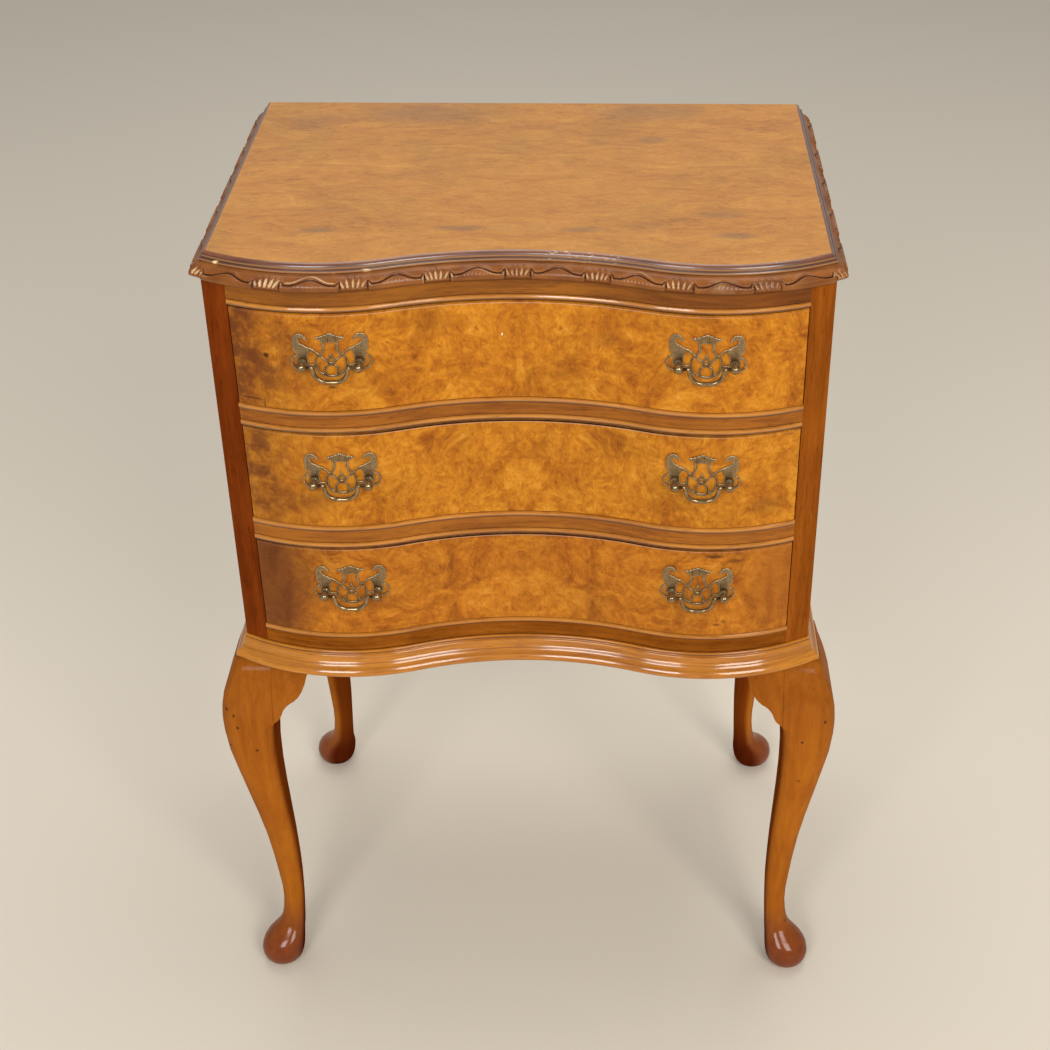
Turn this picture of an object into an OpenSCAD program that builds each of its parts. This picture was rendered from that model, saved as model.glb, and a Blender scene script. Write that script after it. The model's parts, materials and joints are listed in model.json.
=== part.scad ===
// Bedside chest of three drawers with a serpentine front, on four cabriole legs.
// Front faces -Y, +X is to the right of someone facing it, +Z is up.
// The origin is on the floor, in the middle of the width and depth.
// All sizes are in millimetres.

/* [Overall] */
// Width over the case sides
case_w = 488; // [476:1:520]
// Depth of the case from its back to its front corners
case_d = 309; // [300:1:340]
// Height of the legs up to the base frame
leg_h = 375; // [365:1:380]

/* [Serpentine front] */
// Distance of each bulge from the middle
crest_x = 154; // [148:1:160]
// Radius of each bulge
crest_r = 180; // [170:1:200]
// How far the middle lies behind the bulges
hollow_depth = 25; // [18:0.5:30]

/* [Top] */
// Thickness of the top board
top_t = 22; // [20:0.5:26]
// How far the veneered surface stops short of the case face
top_inset = 6.3; // [5:0.1:8]
// Height of the thumb moulding round the top
thumb_h = 7.4; // [6:0.1:9]
// Height of the small roll in the lower part of the thumb moulding
roll_h = 2.8; // [2:0.1:3.4]
// Fillet between the roll and the quarter round above it
thumb_fillet = 0.6; // [0.3:0.1:1]
// How far the top runs past the back of the case
top_back = 8; // [4:1:14]
// Projection of the carved moulding from the case face
carved_p = 7.6; // [6:0.1:10]
// Depth of the seat that the carved moulding is glued into
carved_seat = 2; // [1.5:0.5:4]

/* [Case] */
// Thickness of the side panels
side_t = 16; // [12:1:18]
// Width of the front stiles
stile_w = 20; // [19:1:26]
// Depth of the front stiles
stile_d = 24; // [20:1:30]
// Thickness of the back panel
back_t = 8; // [6:1:10]
// Front to back width of the rails
rail_d = 50; // [40:1:60]
// Height of the frieze rail under the top
frieze_h = 17; // [15:0.5:20]
// Height of the upper dividing rail
upper_rail_h = 19.5; // [18:0.5:24]
// Height of the lower dividing rail
lower_rail_h = 20.5; // [18:0.5:24]
// Height of the bottom rail
bottom_rail_h = 20.5; // [19:0.5:24]
// Height of the opening for the top drawer
opening_1_h = 87; // [80:0.5:90]
// Height of the opening for the middle drawer
opening_2_h = 89.5; // [80:0.5:92]
// Height of the opening for the bottom drawer
opening_3_h = 89; // [80:0.5:92]
// Thickness of the cock beads
bead_t = 4.2; // [3:0.1:5]
// Projection of the cock beads
bead_p = 1.8; // [1:0.1:2.5]
// Depth that the cock beads are let into the rails
bead_seat = 6; // [5:0.5:9]
// Room for glue behind the cock beads
glue_gap = 0.05; // [0.03:0.01:0.1]
// Length of the rail tenons
tenon_l = 12; // [8:1:15]
// Thickness of the bottom board
bottom_t = 8; // [6:1:10]
// Width of the drawer runners
runner_w = 28; // [24:1:34]
// Height of the guide strip above a runner
guide_h = 28; // [16:1:40]

/* [Base] */
// Height of the base frame under the case
base_h = 20; // [16:1:24]
// Width of the base frame rails
base_rail_w = 52; // [48:1:60]
// Projection of the base moulding
base_p = 10.6; // [8:0.1:14]
// Height of the bead that laps up over the foot of the case
lap_h = 2.4; // [2:0.1:4]
// Back legs, how far in from the case sides
back_leg_x = 14.5; // [10:0.5:20]
// Back legs, how far in from the case back
back_leg_y = 21; // [20:0.5:30]
// Radius of the dowel on top of each leg
dowel_r = 8; // [6:0.5:9]
// Length of the dowel on top of each leg
dowel_l = 15; // [10:1:16]
// Thickness of the knee brackets
bracket_t = 18; // [14:1:20]
// How far the knee brackets reach from the leg
bracket_l = 33; // [28:1:40]

/* [Drawers] */
// Thickness of the drawer fronts
front_t = 20; // [18:1:24]
// Thickness of the drawer sides and backs
drawer_side_t = 8; // [7:0.5:10]
// Thickness of the drawer bottoms
drawer_bottom_t = 5; // [4:0.5:6]
// Height of the drawer bottom above the foot of the drawer
drawer_bottom_z = 8; // [6:1:12]
// Depth of the grooves that hold the drawer bottom
groove_d = 4; // [3:0.5:5]
// Gap at each end of a drawer front
end_gap = 0.8; // [0.6:0.1:1.5]
// Gap above a drawer front
over_gap = 1.5; // [1:0.1:2]
// Running gap under the drawer sides
run_gap = 0.3; // [0.2:0.1:0.5]
// Gap between a drawer side and its guide strip
guide_gap = 0.5; // [0.4:0.1:1]
// How much lower the drawer sides are than the front
side_drop = 5; // [3:1:12]
// Space behind a closed drawer
rear_gap = 10; // [6:1:20]
// Length of the dovetails
tail_l = 13; // [10:1:14]

/* [Handles] */
// Distance of each handle from the middle
handle_x = 145; // [135:1:150]
// Distance between the two posts of a handle
post_pitch = 44; // [42:1:48]
// Height of the posts above the middle of the drawer front
handle_up = 1.5; // [0:0.5:4]
// Thickness of the pierced back plate
plate_t = 1.6; // [1.2:0.1:2]
// Distance of the bail axis from the bulge of the drawer front
axis_out = 9.5; // [9:0.5:12]
// Radius of the ball on each post
ball_r = 4; // [3.6:0.1:4.6]
// Radius of the posts
post_r = 2.2; // [2:0.1:2.6]
// Radius of the bail
bail_r = 1.8; // [1.5:0.1:1.9]
// Radius of the pins at the ends of the bail
pin_r = 1.3; // [1:0.1:1.5]
// Half the width of the bail's drop
drop_r = 13.4; // [12:0.2:14]
// Radius of the two sides of the drop
side_r = 11; // [8:0.2:11.6]
// Radial clearance of the bail pins and of the posts in their holes
pin_fit = 0.05; // [0.03:0.01:0.1]

/* [Hidden] */

// Smoothness of the round shapes.
round_fn = 96;
// Length that cutting shapes run past what they cut.
past = 1;
// Room in front of the bulges that the cutting shapes of the front take in.
front_room = 60;
// How far in front of the centres of the bulges a strip along the front is cut off.
strip_stop = 40;

// The plan of the front. Two bulges are joined by a hollow, all of them true arcs that meet
// without a corner. A distance d outward from the case face is an offset of every arc.
half_w = case_w / 2;
turn = 2 * atan(hollow_depth / crest_x);
hollow_r = crest_x / sin(turn) - crest_r;
corner_turn = asin((half_w - crest_x) / crest_r);
corner_sag = crest_r * (1 - cos(corner_turn));
depth_to_crest = top_back + case_d + corner_sag;
total_d = depth_to_crest + axis_out + ball_r;
y_back = total_d / 2;
y_case = y_back - top_back;
y_corner = y_case - case_d;
y_crest = y_corner - corner_sag;
y_bulge = y_crest + crest_r;
y_hollow = y_crest + hollow_depth - hollow_r;
mitre = (1 - sin(corner_turn)) / cos(corner_turn);
function join_x(d) = (hollow_r - d) * sin(turn);
function bulge_y(x, d) = y_bulge - sqrt(pow(crest_r + d, 2) - pow(abs(x) - crest_x, 2));
function hollow_y(x, d) = y_hollow + sqrt(pow(hollow_r - d, 2) - x * x);
function face_y(x, d) = abs(x) > join_x(d) ? bulge_y(x, d) : hollow_y(x, d);

// Heights, from the floor up. Together they make the height of the whole chest.
z_base = leg_h;
z_case = z_base + base_h;
z_open_3 = z_case + bottom_rail_h;
z_lower_rail = z_open_3 + opening_3_h;
z_open_2 = z_lower_rail + lower_rail_h;
z_upper_rail = z_open_2 + opening_2_h;
z_open_1 = z_upper_rail + upper_rail_h;
z_frieze = z_open_1 + opening_1_h;
z_top = z_frieze + frieze_h;
total_h = z_top + top_t;
open_x = half_w - stile_w;
inner_x = half_w - side_t;
y_panel = y_case - back_t;
y_stile = y_corner + stile_d;

wood = "#9c6230";
dark_wood = "#7a4322";
burr = "#b8792e";
pale_wood = "#c9a06a";
brass = "#8a6a3c";

// Area behind the front curve at the offset d, between the sides and the back line.
module plan(side_x, d, back_y) {
    intersection() {
        translate([-side_x, y_crest - front_room])
            square([2 * side_x, back_y - y_crest + front_room]);
        union() {
            translate([-side_x - past, y_bulge])
                square([2 * (side_x + past), back_y - y_bulge + past]);
            for (s = [-1, 1])
                intersection() {
                    translate([s * crest_x, y_bulge])
                        circle(r = crest_r + d, $fn = round_fn);
                    translate([s > 0 ? join_x(d) : -half_w - crest_r, y_crest - front_room])
                        square([half_w + crest_r - join_x(d), crest_r + front_room + past]);
                }
            difference() {
                translate([-join_x(d), y_crest - front_room])
                    square([2 * join_x(d), y_bulge - y_crest + front_room + past]);
                translate([0, y_hollow])
                    circle(r = hollow_r - d, $fn = round_fn);
            }
        }
    }
}

// Strip between two offsets of the front curve, between the lines at +side_x and -side_x.
module strip(side_x, d_out, d_in) {
    difference() {
        plan(side_x, d_out, y_bulge - strip_stop);
        plan(side_x + past, d_in, y_bulge);
    }
}

// The part of the front that follows the hollow, between the lines where it meets the bulges.
module hollow_zone(z0, z1) {
    reach = hollow_r + 2 * crest_r;
    translate([0, 0, z0])
        linear_extrude(z1 - z0)
            polygon([
                [0, y_hollow],
                [reach * sin(turn), y_hollow + reach * cos(turn)],
                [-reach * sin(turn), y_hollow + reach * cos(turn)]]);
}

// A profile carried along the whole front, between the heights z0 and z1. In it, x runs
// outward from the case face and y up.
module along_front(z0, z1) {
    difference() {
        for (s = [-1, 1])
            translate([s * crest_x, y_bulge, 0])
                rotate_extrude($fn = round_fn)
                    translate([crest_r, 0])
                        children();
        hollow_zone(z0 - past, z1 + past);
    }
    intersection() {
        translate([0, y_hollow, 0])
            rotate_extrude($fn = round_fn)
                translate([hollow_r, 0])
                    mirror([1, 0])
                        children();
        hollow_zone(z0 - past, z1 + past);
    }
}

// Everything in front of the mitres at the two front corners.
module mitre_zone(z0, z1) {
    reach = front_room;
    translate([0, 0, z0])
        linear_extrude(z1 - z0)
            polygon([
                [-half_w - reach, y_corner - reach * mitre],
                [-half_w + reach, y_corner + reach * mitre],
                [half_w - reach, y_corner + reach * mitre],
                [half_w + reach, y_corner - reach * mitre],
                [half_w + reach, y_corner - 3 * reach],
                [-half_w - reach, y_corner - 3 * reach]]);
}

// A profile carried along the front and stopped at the mitres.
module front_moulding(z0, z1) {
    intersection() {
        along_front(z0, z1)
            children();
        mitre_zone(z0 - past, z1 + past);
    }
}

// The same profile along one side, from the mitre to the line back_y.
module side_moulding(s, z0, z1, back_y) {
    difference() {
        mirror([s > 0 ? 0 : 1, 0, 0])
            translate([half_w, back_y, 0])
                rotate([90, 0, 0])
                    linear_extrude(back_y - y_corner + front_room / 2)
                        children();
        mitre_zone(z0 - past, z1 + past);
    }
}

// Thumb moulding: a quarter round, a fillet and a small roll. Its back and its top run past
// the board, so that it is cut level with the board.
thumb_r = thumb_h - roll_h - thumb_fillet;
thumb_back = 8;
thumb_steps = 8;
function arc_points(r, from, to) =
    [for (i = [0 : thumb_steps]) let (a = from + (to - from) * i / thumb_steps) r * [cos(a), sin(a)]];
module thumb_profile() {
    ovolo = [for (p = arc_points(thumb_r, 0, 90)) p + [-top_inset, total_h - thumb_r]];
    roll = [for (p = arc_points(roll_h / 2, -90, 90)) p + [-roll_h / 2, z_thumb + roll_h / 2]];
    polygon(concat([[-top_inset - thumb_back, z_thumb]], roll,
        [[thumb_r - top_inset, z_thumb + roll_h]], ovolo,
        [[-top_inset, total_h + past], [-top_inset - thumb_back, total_h + past]]));
}

z_thumb = total_h - thumb_h;
module top_board() {
    color(burr)
        intersection() {
            union() {
                translate([0, 0, z_top])
                    linear_extrude(z_thumb + roll_h / 2 - z_top)
                        plan(half_w - carved_seat, -carved_seat, y_back);
                translate([0, 0, z_thumb])
                    linear_extrude(thumb_h + past)
                        plan(half_w - top_inset - 2, -top_inset - 2, y_back);
                front_moulding(z_top, total_h + past)
                    thumb_profile();
                for (s = [-1, 1])
                    side_moulding(s, z_top, total_h + past, y_back)
                        thumb_profile();
            }
            translate([-case_w, y_crest - front_room, z_top])
                cube([2 * case_w, total_d + 2 * front_room, top_t]);
        }
}

// Carved moulding, plain here: a broad slope above, a tight nose and an undercut below.
carved_h = top_t - thumb_h;
module carved_profile() {
    k = carved_p / 7.6;
    translate([0, z_top])
        polygon([[-carved_seat, 0], [0.3, 0], [3.4 * k, 1.7], [6.6 * k, 3.9], [7.5 * k, 4.9],
            [carved_p, 6], [7.2 * k, 7.5], [6 * k, 9.3], [4.3 * k, 11.1], [2.3 * k, 12.6],
            [0.6, carved_h - 1], [-0.6, carved_h], [-carved_seat, carved_h]]);
}

module carved_moulding_front() {
    color(wood)
        front_moulding(z_top, total_h)
            carved_profile();
}

module carved_moulding_side(s) {
    color(wood)
        side_moulding(s, z_top, total_h, y_back)
            carved_profile();
}

module carved_moulding_left() {
    carved_moulding_side(-1);
}

module carved_moulding_right() {
    carved_moulding_side(1);
}

// Side panels, running from the stiles to the back of the case.
module side_panel(s) {
    color(dark_wood)
        translate([s > 0 ? inner_x : -half_w, y_stile, z_case])
            cube([side_t, y_case - y_stile, z_top - z_case]);
}

module side_left() {
    side_panel(-1);
}

module side_right() {
    side_panel(1);
}

module back_panel() {
    color(pale_wood)
        translate([-inner_x, y_panel, z_case])
            cube([2 * inner_x, back_t, z_top - z_case]);
}

// Tenons at both ends of a rail, and the mortises that take them.
tenon_in = 8;
tenon_t = 8;
tenon_shoulder = 4.5;
module tenons(z0, h) {
    for (s = [-1, 1])
        translate([s > 0 ? open_x - past : -open_x - tenon_l, y_corner + tenon_in - 6, z0 + tenon_shoulder])
            cube([tenon_l + past, tenon_t, h - 2 * tenon_shoulder]);
}

module all_tenons() {
    tenons(z_frieze, frieze_h);
    tenons(z_upper_rail, upper_rail_h);
    tenons(z_lower_rail, lower_rail_h);
    tenons(z_case, bottom_rail_h);
}

module stile(s) {
    color(dark_wood)
        difference() {
            translate([0, 0, z_case])
                linear_extrude(z_top - z_case)
                    intersection() {
                        plan(half_w, 0, y_stile);
                        translate([s > 0 ? open_x : -half_w, y_crest - front_room])
                            square([stile_w, case_d]);
                    }
            all_tenons();
        }
}

module stile_left() {
    stile(-1);
}

module stile_right() {
    stile(1);
}

// Seat of a cock bead, cut out of the face of a rail. It runs past the rail's edge.
module bead_seat_at(z0) {
    translate([0, 0, z0])
        linear_extrude(bead_t + past)
            strip(half_w, past, -bead_seat - glue_gap);
}

// A rail from stile to stile, with the curve of the front on its face and its back.
module rail(z0, h, lower_bead, upper_bead) {
    color(wood)
        difference() {
            union() {
                translate([0, 0, z0])
                    linear_extrude(h)
                        strip(open_x, 0, -rail_d);
                tenons(z0, h);
            }
            if (lower_bead)
                bead_seat_at(z0 - past);
            if (upper_bead)
                bead_seat_at(z0 + h - bead_t);
        }
}

module rail_frieze() {
    rail(z_frieze, frieze_h, true, false);
}

module rail_upper() {
    rail(z_upper_rail, upper_rail_h, true, true);
}

module rail_lower() {
    rail(z_lower_rail, lower_rail_h, true, true);
}

module rail_bottom() {
    rail(z_case, bottom_rail_h, false, true);
}

// A cock bead with a round nose, let into the face of a rail.
module cock_bead(z0) {
    intersection() {
        along_front(z0, z0 + bead_t)
            polygon([[-bead_seat, z0], [bead_p - 1.4, z0], [bead_p - 0.4, z0 + 0.5], [bead_p, z0 + 1.5],
                [bead_p, z0 + bead_t - 1.5], [bead_p - 0.4, z0 + bead_t - 0.5], [bead_p - 1.4, z0 + bead_t],
                [-bead_seat, z0 + bead_t]]);
        translate([-open_x, y_crest - front_room, z0 - past])
            cube([2 * open_x, case_d, bead_t + 2 * past]);
    }
}

module cock_beads(z0, h) {
    color(burr) {
        cock_bead(z0 - bead_t);
        cock_bead(z0 + h);
    }
}

module cock_beads_1() {
    cock_beads(z_open_1, opening_1_h);
}

module cock_beads_2() {
    cock_beads(z_open_2, opening_2_h);
}

module cock_beads_3() {
    cock_beads(z_open_3, opening_3_h);
}

module bottom_board() {
    color(pale_wood)
        translate([0, 0, z_case])
            linear_extrude(bottom_t)
                difference() {
                    plan(inner_x, -rail_d, y_panel);
                    translate([-half_w, y_crest - front_room])
                        square([case_w, y_stile - y_crest + front_room]);
                }
}

// Runner and guide strip in one piece at each side, from the rail to the back panel.
drawer_x = open_x - end_gap;
side_step = 1.2;
side_x = drawer_x - side_step;
guide_x = side_x + guide_gap;
module runner_pair(z0, h, guide) {
    color(pale_wood)
        for (s = [0, 1])
            mirror([s, 0, 0])
                intersection() {
                    translate([0, 0, z0])
                        linear_extrude(h + guide_h)
                            plan(half_w, -rail_d, y_panel);
                    union() {
                        translate([inner_x - runner_w, y_corner, z0])
                            cube([runner_w, case_d, h]);
                        if (guide)
                            translate([guide_x, y_corner, z0])
                                cube([inner_x - guide_x, case_d, h + guide_h]);
                    }
                }
}

module runners_1() {
    runner_pair(z_upper_rail, upper_rail_h, true);
}

module runners_2() {
    runner_pair(z_lower_rail, lower_rail_h, true);
}

module runners_3() {
    runner_pair(z_case + bottom_t, bottom_rail_h - bottom_t, true);
}

module kickers() {
    runner_pair(z_frieze, frieze_h, false);
}

// Base moulding: a small bead, a fillet, and a long hollow that flares to a round lower edge.
module base_profile() {
    k = base_p / 10.6;
    translate([0, z_base])
        polygon([[0, 0], [7.8 * k, 0], [9.7 * k, 1], [base_p, 3.2], [10.3 * k, 5.4], [8.8 * k, 7],
            [6.2 * k, 8.6], [4.6 * k, 10.6], [3.6 * k, 13.4], [2.9 * k, 16.2], [2.2 * k, base_h - 1.6],
            [0.9, base_h - 0.6], [0.9, base_h], [1.9, base_h + 0.7], [1.9, base_h + lap_h - 0.7],
            [1.1, base_h + lap_h], [0, base_h + lap_h]]);
}

module base_moulding_front() {
    color(wood)
        front_moulding(z_base, z_case + lap_h)
            base_profile();
}

module base_moulding_side(s) {
    color(wood)
        side_moulding(s, z_base, z_case + lap_h, y_case)
            base_profile();
}

module base_moulding_left() {
    base_moulding_side(-1);
}

module base_moulding_right() {
    base_moulding_side(1);
}

// Middle of the dowel of a leg, measured outward from the corner that the leg is set to.
dowel_at = -dowel_r - 2;
front_leg_x = half_w;
rear_leg_x = half_w - back_leg_x;
y_rear_leg = y_case - back_leg_y;

module base_frame() {
    color(wood)
        difference() {
            translate([0, 0, z_base])
                linear_extrude(base_h)
                    difference() {
                        plan(half_w, 0, y_case);
                        translate([base_rail_w - half_w, y_corner + base_rail_w])
                            square([case_w - 2 * base_rail_w, case_d - 2 * base_rail_w]);
                    }
            for (s = [-1, 1]) {
                translate([s * (front_leg_x + dowel_at), y_corner - dowel_at, z_base - past])
                    cylinder(r = dowel_r + pin_fit, h = dowel_l + past, $fn = round_fn);
                translate([s * (rear_leg_x + dowel_at), y_rear_leg + dowel_at, z_base - past])
                    cylinder(r = dowel_r + pin_fit, h = dowel_l + past, $fn = round_fn);
            }
        }
}

// Cabriole leg. Each row is a height, how far the leg reaches outward and inward from the
// corner it is set to, and how round its outer, side and inner edges are, as shares of half
// its width. The heights are drawn to the leg's height from the height of the last row.
leg_rows = [
    [0, 14.2, -6.8, 0.93, 0.93, 0.93],
    [1.5, 16.8, -9.4, 0.93, 0.93, 0.93],
    [4, 19.4, -12.2, 0.93, 0.93, 0.93],
    [7.5, 21.6, -14.7, 0.93, 0.93, 0.93],
    [12, 23.2, -16.5, 0.93, 0.93, 0.93],
    [16.5, 23.7, -17.4, 0.93, 0.93, 0.93],
    [21, 23, -17.9, 0.93, 0.93, 0.93],
    [25, 21.2, -18.1, 0.93, 0.93, 0.93],
    [29, 18.4, -18.2, 0.93, 0.93, 0.93],
    [33, 14.2, -18.3, 0.93, 0.93, 0.93],
    [37, 9.6, -18.5, 0.93, 0.93, 0.93],
    [41.5, 5.6, -18.7, 0.93, 0.93, 0.93],
    [47, 3, -18.9, 0.93, 0.93, 0.93],
    [57, 1, -19.4, 0.93, 0.93, 0.93],
    [70, -0.2, -20, 0.93, 0.93, 0.93],
    [85, -0.1, -20.5, 0.93, 0.93, 0.93],
    [105, 1.5, -21, 0.92, 0.92, 0.92],
    [130, 3.7, -20.8, 0.9, 0.88, 0.88],
    [160, 7, -20, 0.87, 0.8, 0.8],
    [190, 11.5, -18.8, 0.85, 0.72, 0.72],
    [220, 16.6, -17.6, 0.82, 0.66, 0.66],
    [250, 21.7, -16.8, 0.8, 0.6, 0.6],
    [278, 26.3, -17, 0.78, 0.58, 0.54],
    [300, 28.2, -18.2, 0.76, 0.5, 0.44],
    [311, 28.4, -19.2, 0.74, 0.38, 0.32],
    [317, 28.3, -20, 0.73, 0.05, 0.05],
    [328, 27.4, -20, 0.72, 0.05, 0.05],
    [340, 25, -20, 0.7, 0.05, 0.05],
    [352, 20.8, -20, 0.66, 0.05, 0.05],
    [364, 15.6, -20, 0.6, 0.05, 0.05],
    [375, 12, -20, 0.5, 0.05, 0.05]];
leg_head = leg_rows[len(leg_rows) - 1];
leg_scale = leg_h / leg_head[0];
leg_in = -leg_head[2];
edge_steps = 7;

function edge_points(cu, cv, r, start, z) =
    [for (i = [0 : edge_steps])
        [cu + r * cos(start + 90 * i / edge_steps), cv + r * sin(start + 90 * i / edge_steps), z]];

function leg_ring(row) =
    let (a = row[1], b = row[2], half = (a - b) / 2)
    let (ro = half * row[3], rs = half * row[4], ri = half * row[5], z = row[0] * leg_scale)
    concat(edge_points(a - ro, a - ro, ro, 0, z), edge_points(b + rs, a - rs, rs, 90, z),
        edge_points(b + ri, b + ri, ri, 180, z), edge_points(a - rs, b + rs, rs, 270, z));

module leg_shape() {
    n = 4 * (edge_steps + 1);
    rings = len(leg_rows);
    points = [for (row = leg_rows) each leg_ring(row)];
    walls = [for (k = [0 : rings - 2]) for (i = [0 : n - 1]) for (t = [0, 1])
        let (j = (i + 1) % n, p = k * n, q = p + n)
        t == 0 ? [p + i, q + i, q + j] : [p + i, q + j, p + j]];
    ends = [[for (i = [0 : n - 1]) i], [for (i = [n - 1 : -1 : 0]) (rings - 1) * n + i]];
    polyhedron(points = points, faces = concat(walls, ends), convexity = 4);
}

// Puts a leg or its brackets at one corner. The shape's +X and +Y point outward.
module at_leg(sx, front) {
    translate([sx * (front ? front_leg_x : rear_leg_x), front ? y_corner : y_rear_leg, 0])
        mirror([sx > 0 ? 0 : 1, 0, 0])
            mirror([0, front ? 1 : 0, 0])
                children();
}

module leg(sx, front) {
    color(wood)
        at_leg(sx, front) {
            leg_shape();
            translate([dowel_at, dowel_at, leg_h - past])
                cylinder(r = dowel_r, h = dowel_l + past, $fn = round_fn);
        }
}

module leg_front_left() {
    leg(-1, true);
}

module leg_front_right() {
    leg(1, true);
}

module leg_back_left() {
    leg(-1, false);
}

module leg_back_right() {
    leg(1, false);
}

// Knee bracket: the face of the knee carried on past the leg, cut to a scrolled outline.
// The outline's points are shares of the bracket's length and heights under the base frame.
bracket_outline = [[0, 0], [1, 0], [1, -7], [0.94, -13], [0.88, -20], [0.8, -26], [0.7, -31], [0.58, -34.5],
    [0.46, -37], [0.37, -39.5], [0.28, -43.5], [0.22, -48.5], [0.17, -52], [0.09, -54.5], [0, -57]];
bracket_foot = -bracket_outline[len(bracket_outline) - 1][1];
module bracket() {
    knee = [for (row = leg_rows) if (row[0] > leg_head[0] - bracket_foot - 20) row];
    outer = [for (row = knee) [row[1], row[0] * leg_scale]];
    inner = [for (i = [len(knee) - 1 : -1 : 0]) [knee[i][1] - bracket_t, knee[i][0] * leg_scale]];
    intersection() {
        translate([-leg_in - bracket_l - past, 0, 0])
            rotate([90, 0, 90])
                linear_extrude(bracket_l + past)
                    polygon(concat(outer, inner));
        translate([-leg_in, front_room, leg_h])
            rotate([90, 0, 0])
                linear_extrude(2 * front_room)
                    polygon([for (p = bracket_outline) [-p[0] * bracket_l, p[1] * leg_scale]]);
    }
}

module brackets(sx, front) {
    color(wood)
        at_leg(sx, front) {
            bracket();
            mirror([1, -1, 0])
                bracket();
        }
}

module brackets_front_left() {
    brackets(-1, true);
}

module brackets_front_right() {
    brackets(1, true);
}

module brackets_back_left() {
    brackets(-1, false);
}

module brackets_back_right() {
    brackets(1, false);
}

// Drawers. Each takes the height of the foot and the height of its opening.
side_foot = run_gap;
front_foot = 0.6;
side_inner_x = side_x - drawer_side_t;
y_drawer_end = y_panel - rear_gap;
tail_count = 3;
tail_slope = 1 / 7;

module drawer_bottom(z0) {
    color(pale_wood)
        translate([0, 0, z0 + drawer_bottom_z])
            linear_extrude(drawer_bottom_t)
                plan(side_inner_x + groove_d, -front_t + groove_d, y_drawer_end);
}

// The dovetails of one side, wider at their ends, as a cutter and as part of the side.
module tails(s, z0, h) {
    side_h = h - side_foot - side_drop;
    pitch = side_h / tail_count;
    wide = pitch * 0.6;
    y_tail = face_y(side_x, -front_t) - tail_l;
    translate([s > 0 ? side_inner_x : -side_x, 0, 0])
        rotate([90, 0, 90])
            linear_extrude(drawer_side_t)
                for (i = [0 : tail_count - 1])
                    translate([y_tail, z0 + side_foot + pitch * (i + 0.5)])
                        polygon([[0, -wide / 2], [tail_l + 8, -wide / 2 + (tail_l + 8) * tail_slope],
                            [tail_l + 8, wide / 2 - (tail_l + 8) * tail_slope], [0, wide / 2]]);
}

module drawer_side(s, z0, h) {
    color(pale_wood)
        difference() {
            union() {
                intersection() {
                    translate([s > 0 ? side_inner_x : -side_x, y_crest, z0 + side_foot])
                        cube([drawer_side_t, y_drawer_end - y_crest, h - side_foot - side_drop]);
                    translate([0, 0, z0])
                        linear_extrude(h)
                            plan(half_w, -front_t, y_case);
                }
                tails(s, z0, h);
            }
            drawer_bottom(z0);
        }
}

// Holes for the two posts of each handle, right through the drawer front.
post_x = post_pitch / 2;
function handle_z(z0, h) = z0 + (h - over_gap + front_foot) / 2 + handle_up;
y_axis = y_crest - axis_out;
module post_holes(z) {
    for (s = [-1, 1])
        for (p = [-1, 1])
            translate([s * handle_x + p * post_x, y_crest - front_room, z])
                rotate([-90, 0, 0])
                    cylinder(r = post_r + pin_fit, h = 2 * front_room, $fn = 48);
}

module drawer_front(z0, h) {
    color(burr)
        difference() {
            translate([0, 0, z0 + front_foot])
                linear_extrude(h - front_foot - over_gap)
                    strip(drawer_x, 0, -front_t);
            drawer_bottom(z0);
            for (s = [-1, 1])
                tails(s, z0, h);
            post_holes(handle_z(z0, h));
        }
}

// The back stands on the bottom, between the sides.
module drawer_back(z0, h) {
    z_foot = drawer_bottom_z + drawer_bottom_t;
    color(pale_wood)
        translate([-side_inner_x, y_drawer_end - drawer_side_t, z0 + z_foot])
            cube([2 * side_inner_x, drawer_side_t, h - side_drop - z_foot - 3]);
}

module drawer_front_1() {
    drawer_front(z_open_1, opening_1_h);
}

module drawer_front_2() {
    drawer_front(z_open_2, opening_2_h);
}

module drawer_front_3() {
    drawer_front(z_open_3, opening_3_h);
}

module drawer_side_left_1() {
    drawer_side(-1, z_open_1, opening_1_h);
}

module drawer_side_left_2() {
    drawer_side(-1, z_open_2, opening_2_h);
}

module drawer_side_left_3() {
    drawer_side(-1, z_open_3, opening_3_h);
}

module drawer_side_right_1() {
    drawer_side(1, z_open_1, opening_1_h);
}

module drawer_side_right_2() {
    drawer_side(1, z_open_2, opening_2_h);
}

module drawer_side_right_3() {
    drawer_side(1, z_open_3, opening_3_h);
}

module drawer_back_1() {
    drawer_back(z_open_1, opening_1_h);
}

module drawer_back_2() {
    drawer_back(z_open_2, opening_2_h);
}

module drawer_back_3() {
    drawer_back(z_open_3, opening_3_h);
}

module drawer_bottom_1() {
    drawer_bottom(z_open_1);
}

module drawer_bottom_2() {
    drawer_bottom(z_open_2);
}

module drawer_bottom_3() {
    drawer_bottom(z_open_3);
}

// A band along a smooth curve with four guide points, from width w0 to width w1.
function curve_at(p, t) =
    pow(1 - t, 3) * p[0] + 3 * pow(1 - t, 2) * t * p[1] + 3 * (1 - t) * t * t * p[2] + pow(t, 3) * p[3];
function curve_way(p, t) =
    3 * pow(1 - t, 2) * (p[1] - p[0]) + 6 * (1 - t) * t * (p[2] - p[1]) + 3 * t * t * (p[3] - p[2]);
function band_edge(p, w0, w1, steps, side) =
    [for (i = [0 : steps])
        let (t = i / steps, way = curve_way(p, t), w = w0 + (w1 - w0) * t)
        curve_at(p, t) + side * w / 2 * [-way[1], way[0]] / norm(way)];
module band(p, w0, w1, steps = 8) {
    right_edge = band_edge(p, w0, w1, steps, -1);
    polygon(concat(band_edge(p, w0, w1, steps, 1), [for (i = [steps : -1 : 0]) right_edge[i]]));
}

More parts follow.
